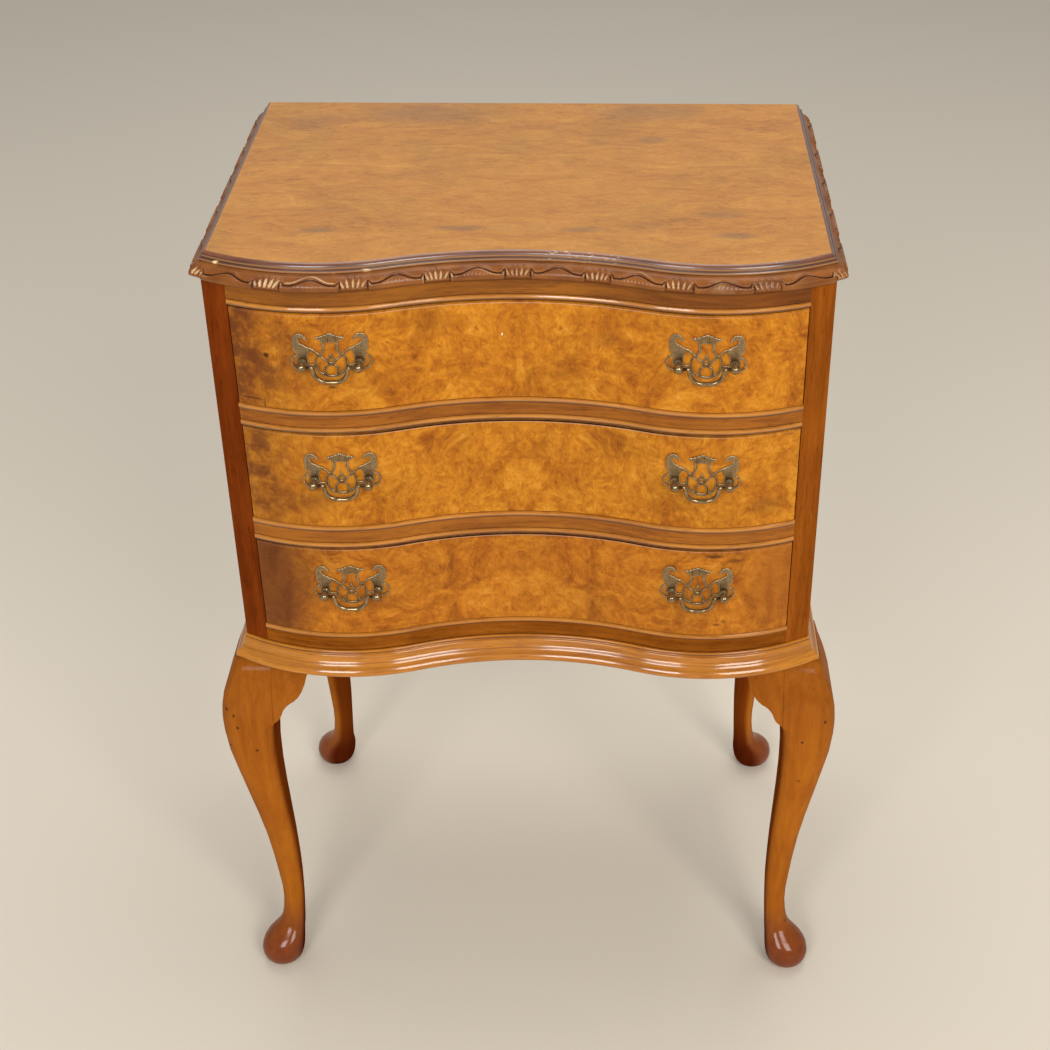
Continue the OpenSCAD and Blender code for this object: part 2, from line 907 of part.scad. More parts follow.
// Half of the pierced back plate, to the right of the middle, drawn for posts plate_pitch
// apart. The posts are at height 0.
plate_pitch = 44;
wing_x = plate_pitch / 2;
scroll_w = 1.5;
module half_plate() {
    translate([wing_x, 0])
        circle(r = 4.6, $fn = 40);
    // Leafy wing that rises from the post and hooks inward at its top.
    translate([wing_x, 0])
        polygon([[-3.6, 0], [3.4, 0], [3.7, 4.6], [4.8, 7.2], [6.6, 9.8], [7.3, 12.4], [6.7, 13.6], [7.5, 16.2],
            [6.9, 17.6], [6.9, 20.2], [5.4, 22.8], [3.2, 24.4], [0.6, 24.8], [-1.7, 23.8], [-3.5, 21.6],
            [-4.4, 18.8], [-3.5, 18.3], [-2.2, 19.9], [-0.6, 21.2], [1.1, 21], [2.1, 19.6], [1.9, 17.6],
            [0.6, 16], [-1.6, 15.1], [-3.6, 13.8], [-5.2, 11.8], [-6, 9.6], [-4.9, 7.8], [-4.2, 5.4]]);
    difference() {
        translate([wing_x + 2.6, -0.5])
            circle(r = 7, $fn = 48);
        translate([wing_x + 2.6, -0.5])
            circle(r = 7 - scroll_w, $fn = 48);
        translate([wing_x - 10, -10])
            square([10, 20]);
    }
    // Arm from the wing and bar from the post, both to the side of the basket.
    band([[wing_x - 4.4, 12.2], [wing_x - 7.8, 11.8], [wing_x - 10.4, 8.8], [wing_x - 14, 5.4]], 2.2, scroll_w, 6);
    band([[wing_x - 3, -2], [wing_x - 5.6, -3.8], [wing_x - 7.6, -1.6], [wing_x - 10.6, -3.4]], 2.4, 1.8, 6);
    // Neck and crown.
    band([[5.8, 18.6], [4.4, 14.6], [4.6, 10.2], [8.8, 5.8]], 2.1, 1.8, 8);
    polygon([[-0.1, 25.4], [1.3, 25.2], [2.5, 24.1], [4.1, 24.3], [5.3, 22.9], [6.9, 23.1], [7.9, 22],
        [9.8, 22.3], [11.4, 21.2], [10.3, 19.9], [8.6, 19.8], [7.3, 18.5], [5.6, 17.4], [3.8, 17.1],
        [2, 17.7], [-0.1, 17]]);
    // Side and floor of the basket, and the arch and the scroll inside it.
    band([[8, 6.2], [12.2, 5.6], [12.6, -0.6], [10.8, -5.8]], 1.7, 1.8, 8);
    band([[10.8, -5.8], [9, -10.6], [4.6, -12], [-0.1, -12]], 1.8, 2.2, 8);
    band([[0, -2.4], [3.6, -1.7], [6.8, -5], [4.2, -11.4]], scroll_w, 1.8, 8);
    band([[8.6, 5.6], [5.8, 4.4], [3.6, 0.2], [-0.2, -2.6]], scroll_w, scroll_w, 8);
}

module plate_outline() {
    half_plate();
    mirror([1, 0])
        half_plate();
    // Small ring and its pointed leaf in the middle.
    difference() {
        union() {
            translate([0, 1.8])
                circle(r = 3, $fn = 32);
            polygon([[-2.4, 3.4], [-1.2, 5.4], [0, 8.6], [1.2, 5.4], [2.4, 3.4]]);
        }
        translate([0, 1.8])
            circle(r = 3 - scroll_w, $fn = 32);
    }
}

// The plates are bent to the bulge of the drawer front.
plate_scale = post_pitch / plate_pitch;
plate_room = post_pitch;
module handle_plates(z0, h) {
    z = handle_z(z0, h);
    color(brass)
        difference() {
            for (s = [-1, 1])
                intersection() {
                    translate([s * handle_x, y_crest + plate_room, z])
                        rotate([90, 0, 0])
                            linear_extrude(2 * plate_room)
                                scale(plate_scale)
                                    plate_outline();
                    translate([s * crest_x, y_bulge, z - plate_room])
                        difference() {
                            cylinder(r = crest_r + plate_t, h = 2 * plate_room, $fn = 256);
                            translate([0, 0, -past])
                                cylinder(r = crest_r, h = 2 * (plate_room + past), $fn = 256);
                        }
                }
            post_holes(z);
        }
}

module handle_plates_1() {
    handle_plates(z_open_1, opening_1_h);
}

module handle_plates_2() {
    handle_plates(z_open_2, opening_2_h);
}

module handle_plates_3() {
    handle_plates(z_open_3, opening_3_h);
}

// Post turned in one piece: a ball for the bail, a collar on the plate, and a shank with
// its nut inside the drawer.
nut_r = 5.5;
nut_t = 3;
collar_r = post_r + 1.3;
collar_t = 1.4;
module handle_post(x, z) {
    y_nut = max(face_y(x - nut_r, -front_t), face_y(x + nut_r, -front_t)) - y_axis;
    y_collar = min(face_y(x - collar_r, plate_t), face_y(x + collar_r, plate_t)) - y_axis - collar_t;
    translate([x, y_axis, z])
        rotate([-90, 45, 0])
            difference() {
                rotate_extrude($fn = 64) {
                    intersection() {
                        circle(r = ball_r, $fn = 48);
                        translate([0, -ball_r - past])
                            square([ball_r + past, 2 * (ball_r + past)]);
                    }
                    square([post_r, y_nut + nut_t + 2]);
                    translate([0, y_collar])
                        square([collar_r, collar_t]);
                    translate([0, y_nut])
                        square([nut_r, nut_t]);
                }
                rotate([0, 0, -45])
                    translate([-ball_r - past, 0, 0])
                        rotate([0, 90, 0])
                            cylinder(r = pin_r + pin_fit, h = 2 * (ball_r + past), $fn = 48);
            }
}

module handle_posts(z0, h) {
    color(brass)
        for (s = [-1, 1])
            for (p = [-1, 1])
                handle_post(s * handle_x + p * post_x, handle_z(z0, h));
}

module handle_posts_1() {
    handle_posts(z_open_1, opening_1_h);
}

module handle_posts_2() {
    handle_posts(z_open_2, opening_2_h);
}

module handle_posts_3() {
    handle_posts(z_open_3, opening_3_h);
}

// Bail: a pin at each end, a small elbow, a round side and a short flat bottom.
elbow_r = 2;
pin_past = 1.5;
bail_neck = drop_r + elbow_r;
side_at = drop_r - side_r;
module bail(s, z0, h) {
    color(brass)
        translate([s * handle_x, y_axis, handle_z(z0, h)]) {
            for (m = [0, 1])
                mirror([m, 0, 0]) {
                    translate([bail_neck, 0, 0])
                        rotate([0, 90, 0])
                            cylinder(r = pin_r, h = post_x + pin_past - bail_neck, $fn = 48);
                    translate([bail_neck, 0, -elbow_r])
                        rotate([90, 0, 0])
                            rotate([0, 0, 90])
                                rotate_extrude(angle = 90, $fn = round_fn)
                                    translate([elbow_r, 0])
                                        circle(r = bail_r, $fn = 32);
                    translate([side_at, 0, -elbow_r])
                        rotate([90, 0, 0])
                            rotate([0, 0, -90])
                                rotate_extrude(angle = 90, $fn = round_fn)
                                    translate([side_r, 0])
                                        circle(r = bail_r, $fn = 32);
                }
            translate([-side_at, 0, -elbow_r - side_r])
                rotate([0, 90, 0])
                    cylinder(r = bail_r, h = 2 * side_at, $fn = 32);
        }
}

module bail_left_1() {
    bail(-1, z_open_1, opening_1_h);
}

module bail_left_2() {
    bail(-1, z_open_2, opening_2_h);
}

module bail_left_3() {
    bail(-1, z_open_3, opening_3_h);
}

module bail_right_1() {
    bail(1, z_open_1, opening_1_h);
}

module bail_right_2() {
    bail(1, z_open_2, opening_2_h);
}

module bail_right_3() {
    bail(1, z_open_3, opening_3_h);
}

top_board();
carved_moulding_front();
carved_moulding_left();
carved_moulding_right();
side_left();
side_right();
back_panel();
stile_left();
stile_right();
rail_frieze();
rail_upper();
rail_lower();
rail_bottom();
cock_beads_1();
cock_beads_2();
cock_beads_3();
bottom_board();
runners_1();
runners_2();
runners_3();
kickers();
base_moulding_front();
base_moulding_left();
base_moulding_right();
base_frame();
leg_front_left();
leg_front_right();
leg_back_left();
leg_back_right();
brackets_front_left();
brackets_front_right();
brackets_back_left();
brackets_back_right();
drawer_front_1();
drawer_side_left_1();
drawer_side_right_1();
drawer_back_1();
drawer_bottom_1();
drawer_front_2();
drawer_side_left_2();
drawer_side_right_2();
drawer_back_2();
drawer_bottom_2();
drawer_front_3();
drawer_side_left_3();
drawer_side_right_3();
drawer_back_3();
drawer_bottom_3();
handle_plates_1();
handle_plates_2();
handle_plates_3();
handle_posts_1();
handle_posts_2();
handle_posts_3();
bail_left_1();
bail_right_1();
bail_left_2();
bail_right_2();
bail_left_3();
bail_right_3();
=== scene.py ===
import json
import math
import bpy
import bmesh
from mathutils import Matrix, Vector

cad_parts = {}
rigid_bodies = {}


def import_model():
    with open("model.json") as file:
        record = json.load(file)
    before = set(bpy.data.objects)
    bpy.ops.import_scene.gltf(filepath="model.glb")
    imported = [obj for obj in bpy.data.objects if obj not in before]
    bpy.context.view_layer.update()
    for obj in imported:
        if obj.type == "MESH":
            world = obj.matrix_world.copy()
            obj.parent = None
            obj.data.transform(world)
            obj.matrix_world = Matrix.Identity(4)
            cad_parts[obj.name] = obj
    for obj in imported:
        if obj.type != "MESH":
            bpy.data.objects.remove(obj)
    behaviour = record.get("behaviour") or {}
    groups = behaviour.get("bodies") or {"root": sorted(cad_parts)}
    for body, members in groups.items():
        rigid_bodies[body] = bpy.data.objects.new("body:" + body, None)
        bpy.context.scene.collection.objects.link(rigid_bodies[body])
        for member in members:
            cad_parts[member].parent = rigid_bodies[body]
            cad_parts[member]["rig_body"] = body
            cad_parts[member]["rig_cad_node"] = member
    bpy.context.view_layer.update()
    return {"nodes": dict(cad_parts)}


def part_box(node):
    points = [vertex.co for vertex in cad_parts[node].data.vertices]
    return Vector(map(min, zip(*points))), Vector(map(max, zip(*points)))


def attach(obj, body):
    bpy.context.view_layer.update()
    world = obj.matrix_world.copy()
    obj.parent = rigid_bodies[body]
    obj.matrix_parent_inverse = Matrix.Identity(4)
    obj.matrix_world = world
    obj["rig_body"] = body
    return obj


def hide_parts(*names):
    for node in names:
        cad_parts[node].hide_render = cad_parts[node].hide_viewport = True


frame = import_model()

nodes = frame["nodes"]
bpy.ops.object.select_all(action="DESELECT")

print("camera and lights")

camera = {
    "place": (0.0678, -1.3836, 1.3432),
    "turn": -0.00764,      # to the left, in radians
    "dip": 0.58035,        # below the horizon
    "roll": -0.00114,
    "sensor": 36,
    "lens": 61.43,
    "shift": (-0.0660, -0.0149),
    "clip": (0.05, 30),
}


def makeCamera(c):
    bpy.ops.object.camera_add(location=c["place"])
    cam = bpy.context.object
    cam.name = "photoCamera"
    turn, dip = c["turn"], c["dip"]
    ahead = Vector((math.sin(turn) * math.cos(dip), math.cos(turn) * math.cos(dip), -math.sin(dip)))
    right = Vector((math.cos(turn), -math.sin(turn), 0))
    up = right.cross(ahead)
    tilt = Matrix.Rotation(c["roll"], 3, ahead)
    right, up = tilt @ right, tilt @ up
    aim = Matrix((right, up, -ahead)).transposed().to_4x4()
    cam.matrix_world = Matrix.Translation(Vector(c["place"])) @ aim
    cam.data.sensor_width, cam.data.lens = c["sensor"], c["lens"]
    cam.data.shift_x, cam.data.shift_y = c["shift"]
    cam.data.clip_start, cam.data.clip_end = c["clip"]
    bpy.context.scene.camera = cam


makeCamera(camera)

# name: place, what it is aimed at, width and height, power, colour
lights = {
    "rightWindow": ((1.3, -2.7, 2.3), (0, 0, 0.5), (1.2, 1.4), 54, (1.0, 0.97, 0.92)),
    "leftWindow": ((-0.8, -2.75, 1.95), (0, 0, 0.45), (0.95, 1.0), 35, (0.97, 0.98, 1.0)),
    "ceilingLight": ((0.1, 0.6, 2.9), (0, 0, 0.6), (2.0, 1.6), 29, (1.0, 0.98, 0.95)),
}
roomLight = {"colour": (0.90, 0.90, 0.89), "strength": 0.43}


def makeLights(table):
    for name, (place, aim, size, power, colour) in table.items():
        bpy.ops.object.light_add(type="AREA", location=place)
        lamp = bpy.context.object
        lamp.name = name
        lamp.data.shape = "RECTANGLE"
        lamp.data.size, lamp.data.size_y = size
        lamp.data.energy = power
        lamp.data.color = colour
        lamp.rotation_euler = (Vector(aim) - Vector(place)).to_track_quat("-Z", "Y").to_euler()


def makeRoomLight(c):
    world = bpy.data.worlds.new("studioWorld")
    bpy.context.scene.world = world
    world.use_nodes = True
    sky = world.node_tree.nodes["Background"]
    sky.inputs["Color"].default_value = (*c["colour"], 1)
    sky.inputs["Strength"].default_value = c["strength"]


makeLights(lights)
makeRoomLight(roomLight)
bpy.context.scene.view_settings.view_transform = "Standard"

print("materials")


def newMaterial(name):
    material = bpy.data.materials.new(name)
    material.use_nodes = True
    return material, material.node_tree, material.node_tree.nodes["Principled BSDF"]


# another node's output is linked to the socket, a number or colour is set on it
def plug(tree, socket, value):
    if isinstance(value, bpy.types.NodeSocket):
        tree.links.new(value, socket)
    else:
        socket.default_value = value


# inputs go by their names, or by in0, in1 and so on
def node(tree, kind, settings=(), **inputs):
    made = tree.nodes.new("ShaderNode" + kind)
    for name, value in dict(settings).items():
        setattr(made, name, value)
    for name, value in inputs.items():
        numbered = name.startswith("in") and name[2:].isdigit()
        plug(tree, made.inputs[int(name[2:]) if numbered else name], value)
    return made


def ramp(tree, factor, stops):
    made = node(tree, "ValToRGB", Fac=factor)
    band = made.color_ramp
    while len(band.elements) < len(stops):
        band.elements.new(0.5)
    for element, (place, colour) in zip(band.elements, stops):
        element.position = place
        element.color = (*colour, 1)
    return made.outputs["Color"]


def mixColour(tree, factor, first, second, blend="MIX"):
    made = node(tree, "Mix", {"data_type": "RGBA", "blend_type": blend})
    for index, value in ((0, factor), (6, first), (7, second)):
        plug(tree, made.inputs[index], (*value, 1) if isinstance(value, tuple) else value)
    return made.outputs[2]


def calc(tree, operation, first, second=0.0, third=0.0):
    return node(tree, "Math", {"operation": operation}, in0=first, in1=second, in2=third).outputs[0]


def times(tree, first, *others):
    for other in others:
        first = calc(tree, "MULTIPLY", first, other)
    return first


# goes from low to high while the value goes from start to stop
def fade(tree, value, start, stop, low=0.0, high=1.0, kind="LINEAR"):
    settings = {"interpolation_type": kind}
    return node(tree, "MapRange", settings, in0=value, in1=start, in2=stop, in3=low, in4=high).outputs[0]


def apart(tree, vector):
    return node(tree, "SeparateXYZ", Vector=vector).outputs


def fromPiece(tree, name, output="Fac"):
    return node(tree, "Attribute", {"attribute_name": name}).outputs[output]


def noise(tree, vector, scale, detail=3.0, roughness=0.5, distortion=0.0, output="Fac"):
    made = node(tree, "TexNoise", Vector=vector, Scale=scale, Detail=detail, Roughness=roughness, Distortion=distortion)
    return made.outputs[output]


def placed(tree, source, scale=(1, 1, 1), place=(0, 0, 0), turn=(0, 0, 0)):
    return node(tree, "Mapping", Vector=source, Location=place, Rotation=turn, Scale=scale).outputs["Vector"]


# pushes a pattern about by a noise of the given scale, as far as amount in metres
def warped(tree, vector, scale, amount, detail=2.0):
    push = noise(tree, vector, scale, detail, output="Color")
    centred = node(tree, "VectorMath", {"operation": "SUBTRACT"}, in0=push, in1=(0.5, 0.5, 0.5)).outputs[0]
    sized = node(tree, "VectorMath", {"operation": "SCALE"}, in0=centred, Scale=amount).outputs[0]
    return node(tree, "VectorMath", {"operation": "ADD"}, in0=vector, in1=sized).outputs[0]


def roughen(tree, shader, height, strength, depth=0.0004):
    bump = node(tree, "Bump", Strength=strength, Distance=depth, Height=height)
    tree.links.new(bump.outputs["Normal"], shader.inputs["Normal"])


# How each wood is finished. The coat is the lacquer over it.
satin = {"roughness": 0.42, "specular": 0.14, "coat": 0.03, "coatRoughness": 0.2, "bump": 0.1}
topShine = {"roughness": 0.36, "specular": 0.45, "coat": 0.3, "coatRoughness": 0.16, "bump": 0.08}
polished = {"roughness": 0.36, "specular": 0.06, "coat": 1.0, "coatRoughness": 0.12, "coatIor": 1.58, "bump": 0.06}
legShine = {"roughness": 0.4, "specular": 0.0, "coat": 0.13, "coatRoughness": 0.14, "bump": 0.1}
dull = {"roughness": 0.5, "specular": 0.0, "coat": 0.0, "coatRoughness": 0.3, "bump": 0.12}
waxed = {"roughness": 0.44, "specular": 0.16, "coat": 0.06, "coatRoughness": 0.26, "bump": 0.15}
bare = {"roughness": 0.75, "specular": 0.3, "coat": 0.0, "coatRoughness": 0.3, "bump": 0.35}
carvedShine = {"roughness": 0.4, "specular": 0.12, "coat": 0.34, "coatRoughness": 0.15, "bump": 0.12}


def polish(tree, shader, colour, height, gloss):
    tree.links.new(colour, shader.inputs["Base Color"])
    shader.inputs["Roughness"].default_value = gloss["roughness"]
    shader.inputs["Specular IOR Level"].default_value = gloss["specular"]
    shader.inputs["Coat Weight"].default_value = gloss["coat"]
    shader.inputs["Coat Roughness"].default_value = gloss["coatRoughness"]
    shader.inputs["Coat IOR"].default_value = gloss.get("coatIor", 1.5)
    roughen(tree, shader, height, gloss["bump"])


black, white = (0.0, 0.0, 0.0), (1.0, 1.0, 1.0)
redBrown, darkKnotAndShade, darkPin = (0.16, 0.042, 0.007), (0.035, 0.012, 0.006), (0.14, 0.03, 0.012)
greyCloud, warmEye, paleNick = (0.21, 0.115, 0.06), (0.62, 0.32, 0.07), (0.95, 0.82, 0.6)
rubbedEdge, seamAndShadeLine = (0.75, 0.5, 0.26), (0.075, 0.020, 0.006)

# Soft-edged oval marks. Each has its middle and half sizes in millimetres, its strength and its colour.
markShape = {
    "edge": 1.25,          # how far out a mark reaches, in half sizes
    "full": 0.35,          # within this it has its whole strength
    "wander": (90.0, 0.006, 3.0),     # what makes outlines uneven
    "crisp": 4,            # marks smaller than this stay even
    "broad": 10,           # red-brown marks larger than this are mottled
    "mottle": (75.0, 4.0, 0.6),
    "mottleFade": (0.36, 0.62, 1.15, 0.3),
}


# axes says in which plane the marks lie
def addMarks(tree, colour, marks, axes, raw):
    m = markShape
    uneven = warped(tree, raw, *m["wander"])
    mottle = fade(tree, noise(tree, uneven, *m["mottle"]), *m["mottleFade"])
    for middle, half, strength, tint in marks:
        scale, place = [0.0, 0.0, 0.0], [0.0, 0.0, 0.0]
        for axis, centre, reach in zip(axes, middle, half):
            scale[axis], place[axis] = 1000 / reach, -centre / reach
        oval = placed(tree, raw if min(half) < m["crisp"] else uneven, scale, place)
        away = node(tree, "VectorMath", {"operation": "LENGTH"}, in0=oval).outputs["Value"]
        near = fade(tree, away, m["edge"], m["full"], 0.0, strength, "SMOOTHSTEP")
        if tint == redBrown and min(half) >= m["broad"]:
            near = times(tree, near, mottle)
        colour = mixColour(tree, near, colour, tint)
    return colour


# thin soft lines at given heights, for dark joints, painted shade and painted highlights: height and half width in
# millimetres, strength
def addLines(tree, colour, z, lines, tint):
    for height, half, strength in lines:
        away = calc(tree, "ABSOLUTE", calc(tree, "SUBTRACT", z, height / 1000))
        near = fade(tree, away, half / 1000, half / 2500, 0.0, strength)
        colour = mixColour(tree, near, colour, tint)
    return colour


# dark pins here and there: how close the cells are, how many stay empty, and the size of a pin in its cell
burrPins = {"scale": 78.0, "empty": 0.66, "full": 0.05, "edge": 0.17, "strength": 0.5, "colour": redBrown}
legPins = {"scale": 40.0, "empty": 0.58, "full": 0.035, "edge": 0.085, "strength": 0.8, "colour": darkPin}


def addPins(tree, colour, source, pins):
    cells = node(tree, "TexVoronoi", {"feature": "F1"}, Vector=source, Scale=pins["scale"], Randomness=1.0)
    chosen = calc(tree, "GREATER_THAN", apart(tree, cells.outputs["Color"])["X"], pins["empty"])
    spots = ramp(tree, cells.outputs["Distance"], [(pins["full"], white), (pins["edge"], black)])
    return mixColour(tree, times(tree, chosen, spots, pins["strength"]), colour, pins["colour"])


# Burr veneer: its colours from dark to bright, where its figure is taken from, how it is stretched, the
# fine strokes in it, and its marks. gap is the front that has a gap above it, and how strong the painted shadow of
# that gap is.
burrKinds = {
    "burrTop": {
        "colours": ((0.40, 0.150, 0.024), (0.50, 0.200, 0.030), (0.57, 0.240, 0.036), (0.64, 0.300, 0.050)),
        "place": (3.1, 1.7, 0.0), "stretch": (0.62, 1.5, 1.0),
        "stroke": (26, 150, 60), "turn": (0, 0, 0.06), "axes": (0, 1),
        "rim": 0.75992,    # veneered above this height, solid wood below it
        "marks": (
            ((-157, -100), (17, 6), 0.55, greyCloud), ((-48, -95), (22, 6), 0.55, greyCloud),
            ((46, -97), (20, 6), 0.4, greyCloud), ((167, -107), (18, 6), 0.5, greyCloud),
            ((106, 90), (15, 9), 0.4, greyCloud), ((157, -68), (22, 7), 0.35, greyCloud),
            ((-96, 152), (62, 30), 0.42, greyCloud), ((105, 156), (58, 24), 0.38, greyCloud),
            ((-190, 130), (26, 24), 0.2, greyCloud),
            ((-14, -92), (16, 9), 0.28, warmEye), ((16, -92), (16, 9), 0.28, warmEye),
        ),
    },
    "burrFront1": {
        "colours": ((0.27, 0.070, 0.004), (0.44, 0.138, 0.007), (0.59, 0.215, 0.012), (0.72, 0.310, 0.034)),
        "place": (0.0, 0.0, 0.0), "stretch": (1, 1, 1),
        "stroke": (62, 62, 170), "turn": (0, 0.6, 0), "axes": (0, 2),
        "gap": ("drawer_front_1", 0.3),
        "marks": (
            ((-222, 684), (26, 62), 1.25, redBrown), ((-200, 676), (44, 60), 0.6, redBrown),
            ((-203, 664), (28, 14), 0.5, redBrown), ((-212, 645), (20, 12), 0.55, redBrown),
            ((-196.2, 681.6), (2.4, 2.6), 0.9, darkKnotAndShade), ((-213, 681), (8, 6), 0.65, redBrown),
            ((-146, 656), (4, 2), 0.6, darkKnotAndShade), ((-13.9, 690.5), (0.7, 1.5), 1.0, paleNick),
            ((-213, 641), (12, 0.8), 0.75, darkKnotAndShade), ((-201.5, 636), (0.8, 6), 0.7, darkKnotAndShade),
            ((-178, 700), (16, 9), 0.3, redBrown), ((66, 690), (14, 9), 0.25, redBrown),
        ),
    },
    "burrFront2": {
        "colours": ((0.28, 0.074, 0.004), (0.44, 0.142, 0.007), (0.59, 0.220, 0.013), (0.71, 0.310, 0.036)),
        "place": (0.6, 0.3, 2.0), "stretch": (1, 1, 1),
        "stroke": (62, 62, 170), "turn": (0, -0.5, 0), "axes": (0, 2),
        "gap": ("drawer_front_2", 1.0),
        "marks": (
            ((-218, 570), (24, 70), 0.9, redBrown), ((-196, 572), (40, 60), 0.4, redBrown),
            ((-180, 548), (24, 10), 0.4, redBrown), ((198, 545), (20, 9), 0.35, redBrown),
        ),
    },
    "burrFront3": {
        "colours": ((0.26, 0.066, 0.004), (0.40, 0.120, 0.007), (0.54, 0.185, 0.012), (0.66, 0.270, 0.030)),
        "place": (1.3, 0.8, 4.0), "stretch": (1, 1, 1),
        "stroke": (60, 60, 165), "turn": (0, 0.5, 0), "axes": (0, 2),
        "gap": ("drawer_front_3", 1.0),
        "stripes": (75, 75, 16),      # in its plainer ends
        "marks": (
            ((-214, 460), (36, 90), 0.86, (0.155, 0.042, 0.006)), ((-206, 470), (40, 80), 0.5, redBrown),
            ((212, 470), (28, 70), 0.8, (0.40, 0.125, 0.010)), ((158.5, 496.8), (9, 2.2), 0.65, darkKnotAndShade),
            ((175, 492), (7, 2), 0.5, darkKnotAndShade), ((162, 426.5), (3.4, 1.6), 0.6, darkKnotAndShade),
            ((168, 430), (3, 1.6), 0.5, darkKnotAndShade), ((-120, 447), (22, 9), 0.3, redBrown),
        ),
    },
}

# How the burr is drawn, from its large figure to its fibres. A noise is its scale, detail, roughness and distortion.
burrFigure = {
    "joint": (7.0, 2.0),   # how the middle joint of the veneer strays
    "jointReach": 0.036,
    "curl": (17.0, 0.075, 3.0),       # warps: scale, reach in metres, detail
    "eyeCurl": (26.0, 0.03, 3.0),
    "mottles": (27.0, 5.0, 0.6, 0.8),
    "strokes": (1.0, 4.0, 0.6, 0.5),
    "eyes": (95.0, 5.0, 0.65, 0.9),
    "ripples": (210.0, 4.0, 0.7, 0.6),
    "rippleStretch": (1, 1, 0.55),
    "shares": {"mottles": 0.36, "ripples": 0.22, "strokes": 0.18, "eyes": 0.24},
    "steps": (0.385, 0.465, 0.54, 0.635),
    "olive": (15.0, 3.0, 0.55),       # broad greenish patches
    "oliveSteps": [(0.50, black), (0.66, white)],
    "oliveTint": (0.80, 0.86, 0.9),
    "oliveStrength": 0.5,
    "stripeWarp": (9.0, 0.03, 2.0),
    "stripeTurn": (0, 0.2, 0),
    "stripeSteps": [(0.38, (0.70, 0.62, 0.55)), (0.50, (0.95, 0.93, 0.92)), (0.62, white)],
    "stripeEnds": (0.13, 0.19, 0.0, 0.7),
    "fibres": (520.0, 2.0, 0.6),
    "fibreStretch": (1, 1, 0.3),
    "fibreSteps": [(0.34, (0.72, 0.66, 0.6)), (0.56, white)],
    "fibreStrength": 0.5,
}


def burrColour(tree, raw, x, book, kind, f):
    curls = warped(tree, placed(tree, book, kind["stretch"], kind["place"]), *f["curl"])
    single = warped(tree, raw, *f["eyeCurl"])
    mottles = noise(tree, curls, *f["mottles"])
    strokes = noise(tree, placed(tree, curls, kind["stroke"], turn=kind["turn"]), *f["strokes"])
    eyes = noise(tree, placed(tree, single, kind["stretch"]), *f["eyes"])
    ripples = noise(tree, placed(tree, curls, f["rippleStretch"]), *f["ripples"])
    share = f["shares"]
    broad = calc(tree, "MULTIPLY_ADD", mottles, share["mottles"], times(tree, ripples, share["ripples"]))
    fine = calc(tree, "MULTIPLY_ADD", strokes, share["strokes"], times(tree, eyes, share["eyes"]))
    colour = ramp(tree, calc(tree, "ADD", broad, fine), list(zip(f["steps"], kind["colours"])))
    olive = ramp(tree, noise(tree, single, *f["olive"]), f["oliveSteps"])
    colour = mixColour(tree, times(tree, olive, f["oliveStrength"]), colour, f["oliveTint"], "MULTIPLY")
    colour = addMarks(tree, colour, kind["marks"], kind["axes"], raw)
    if "stripes" in kind:
        loose = placed(tree, warped(tree, raw, *f["stripeWarp"]), kind["stripes"], turn=f["stripeTurn"])
        stripes = ramp(tree, noise(tree, loose, 1.0, 3.0, 0.5), f["stripeSteps"])
        ends = fade(tree, calc(tree, "ABSOLUTE", x), *f["stripeEnds"])
        colour = mixColour(tree, ends, colour, stripes, "MULTIPLY")
    fibres = noise(tree, placed(tree, curls, f["fibreStretch"]), *f["fibres"])
    colour = mixColour(tree, f["fibreStrength"], colour, ramp(tree, fibres, f["fibreSteps"]), "MULTIPLY")
    return addPins(tree, colour, curls, burrPins), fibres


# The gap above a drawer front: a painted shadow along its upper edge and a painted highlight under it, in metres below
# its top.
gapShadowAndHighlight = {
    "dark": (0.0015, 0.0011),
    "shadowColour": (0.012, 0.005, 0.003),
    "pale": 0.0018,
    "paleHalf": (0.0004, 0.0001),
    "paleStrength": 0.5,
    "paleColour": (0.62, 0.44, 0.33),
    "hollow": (0.10, 0.20, 1.0, 0.25),     # strong in the hollow of the front, faint on the bulges
    "onTop": 0.15,         # how much of the dark is left on the flat top of the front
}


def addGapShadow(tree, colour, axes, gap, c):
    front, strength = gap
    below = calc(tree, "SUBTRACT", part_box(front)[1].z, axes["Z"])
    hollow = fade(tree, calc(tree, "ABSOLUTE", axes["X"]), *c["hollow"])
    # dark is the painted shadow of the gap along the top edge, and the line under it a painted highlight
    dark = fade(tree, below, *c["dark"])
    fromHighlight = calc(tree, "ABSOLUTE", calc(tree, "SUBTRACT", below, c["pale"]))
    pale = fade(tree, fromHighlight, *c["paleHalf"], 0.0, c["paleStrength"])
    colour = mixColour(tree, times(tree, pale, hollow), colour, c["paleColour"])
    facing = apart(tree, node(tree, "NewGeometry").outputs["Normal"])["Z"]
    upright = calc(tree, "LESS_THAN", facing, 0.5)
    share = times(tree, calc(tree, "MULTIPLY_ADD", upright, 1 - c["onTop"], c["onTop"]), strength)
    return mixColour(tree, times(tree, dark, hollow, share), colour, c["shadowColour"])
